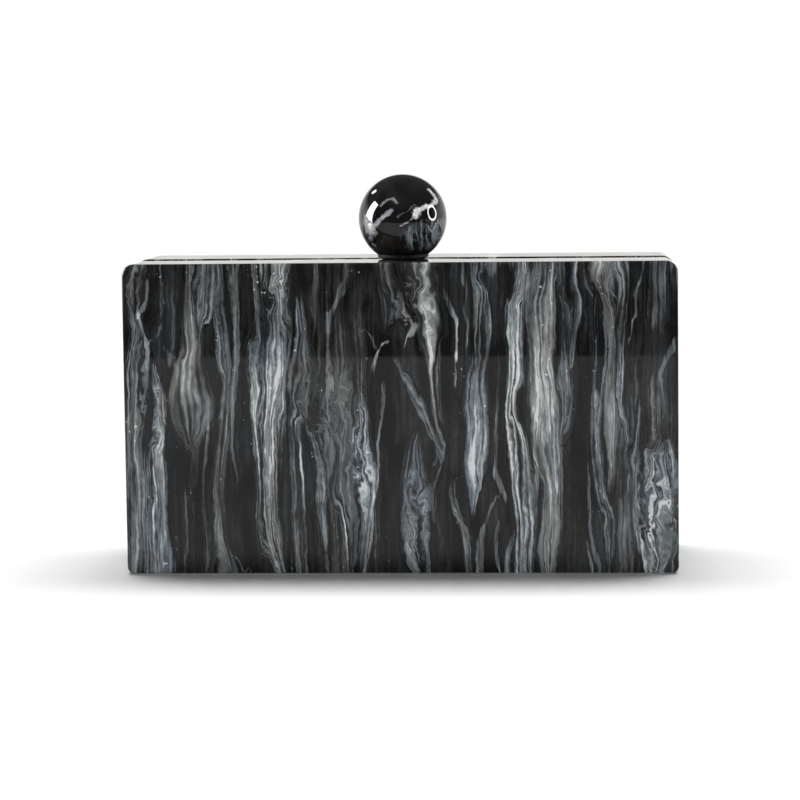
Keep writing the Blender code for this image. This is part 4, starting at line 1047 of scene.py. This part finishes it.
def window_pane(name, corners, strength):
    pane = flat(name, corners, stage_material(name, (1.0, 1.0, 1.0), strength))
    only_for(pane, "glossy")


def hang_mirrored_lamps():
    """What the ball mirrors: a tall window on the left and a ring lamp on the right."""
    x = -0.90
    lower = [(x, -0.08, 0.02), (x, 0.24, 0.18), (x, 0.03, 0.69), (x, -0.29, 0.65)]
    upper = [(x, 0.62, 0.78), (x, 0.85, 0.80), (x, 0.80, 1.02), (x, 0.50, 0.98)]
    window_pane("window_lower", lower, 26.0)
    window_pane("window_upper", upper, 14.0)
    bpy.ops.mesh.primitive_torus_add(
        location=(0.90, -0.02, 0.29),
        rotation=(0, math.pi / 2, 0),
        major_radius=0.22,
        minor_radius=0.028,
        major_segments=64,
        minor_segments=12,
    )
    ring = bpy.context.object
    ring.name = "ring_lamp"
    ring.data.materials.append(stage_material("ring_lamp", (1.0, 1.0, 1.0), 24.0))
    only_for(ring, "glossy")


def lamp(name, kind, location, target, energy, size=1.0, size_y=None):
    light = bpy.data.lights.new(name, kind)
    light.energy = energy
    if kind == "SUN":
        light.angle = size
    else:
        light.size = size
        if size_y:
            light.shape = "RECTANGLE"
            light.size_y = size_y
    obj = bpy.data.objects.new(name, light)
    obj.location = location
    aim = Vector(target) - Vector(location)
    obj.rotation_euler = aim.to_track_quat("-Z", "Y").to_euler()
    bpy.context.scene.collection.objects.link(obj)
    obj.visible_camera = False
    obj.visible_glossy = False
    return obj


def light_studio():
    """Broad light from above and a little behind, with low fills from the front and the sides."""
    overhead = ((-0.66, 0.45), (-0.32, 0.75), (0, 0.96), (0.32, 0.8), (0.66, 0.54))
    for i, (side, strength) in enumerate(overhead):
        lamp(f"overhead_{i}", "SUN", (side, 0.30, 1.5), (0, 0, 0), strength, math.radians(17))
    lamp("front_fill", "AREA", (-0.25, -1.6, 0.11), (0, 0, 0.07), 14.0, 1.6, 0.18)
    lamp("left_fill", "AREA", (-1.3, -0.2, 0.12), (0, 0, 0.06), 2.4, 0.7, 0.2)
    lamp("right_fill", "AREA", (1.3, -0.2, 0.12), (0, 0, 0.06), 2.4, 0.7, 0.2)


def set_world():
    """White to the camera, a soft fill, and for reflections a dark room with a bright strip behind."""
    world = bpy.data.worlds.new("studio")
    bpy.context.scene.world = world
    world.use_nodes = True
    world.node_tree.nodes.clear()
    n = Nodes(world.node_tree)
    _, y, z = n.split(n.add("ShaderNodeTexCoord").outputs["Generated"])
    strip = n.mul(n.smooth(z, 0.42, 0.20), n.smooth(y, -0.10, 0.35))
    room = n.smooth(z, -0.1, 0.9, 0.05, 0.16)
    level = n.math("MAXIMUM", room, n.mul(strip, 0.95))
    mirrored = n.mix_colour(strip, (0.90, 0.95, 1.0, 1.0), (1.0, 0.985, 0.95, 1.0))
    mirrored = n.add("ShaderNodeBackground", {"Color": mirrored, "Strength": level}).outputs[0]
    fill = n.add("ShaderNodeBackground", {"Color": (0.96, 0.98, 1.0, 1.0), "Strength": 0.08}).outputs[0]
    white = n.add("ShaderNodeBackground", {"Color": (1.0, 1.0, 1.0, 1.0), "Strength": 1.0}).outputs[0]
    path = n.add("ShaderNodeLightPath").outputs
    lit = n.add("ShaderNodeMixShader", {0: path["Is Glossy Ray"], 1: fill, 2: mirrored}).outputs[0]
    shown = n.add("ShaderNodeMixShader", {0: path["Is Camera Ray"], 1: lit, 2: white}).outputs[0]
    n.add("ShaderNodeOutputWorld", {"Surface": shown})


def place_camera():
    """Above the purse's top and to the right of its middle, turned slightly back towards it."""
    camera = bpy.data.cameras.new("camera")
    camera.lens = 83.2
    camera.sensor_width = 36.0
    camera.shift_x = -0.096
    camera.shift_y = -0.1812
    camera.clip_start = 0.01
    obj = bpy.data.objects.new("camera", camera)
    place = Matrix.Translation((0.0536, -0.6835, 0.1556))
    aim = Euler((math.radians(90 - 3.5), 0, math.radians(2.2))).to_matrix().to_4x4()
    obj.matrix_world = place @ aim @ Matrix.Rotation(math.radians(-0.56), 4, "Z")
    bpy.context.scene.collection.objects.link(obj)
    bpy.context.scene.camera = obj


def main():
    place_camera()
    build_pieces()
    lay_floor()
    hang_mirrored_lamps()
    light_studio()
    set_world()
    settings = bpy.context.scene.view_settings
    settings.view_transform = "Standard"
    settings.look = "None"


main()
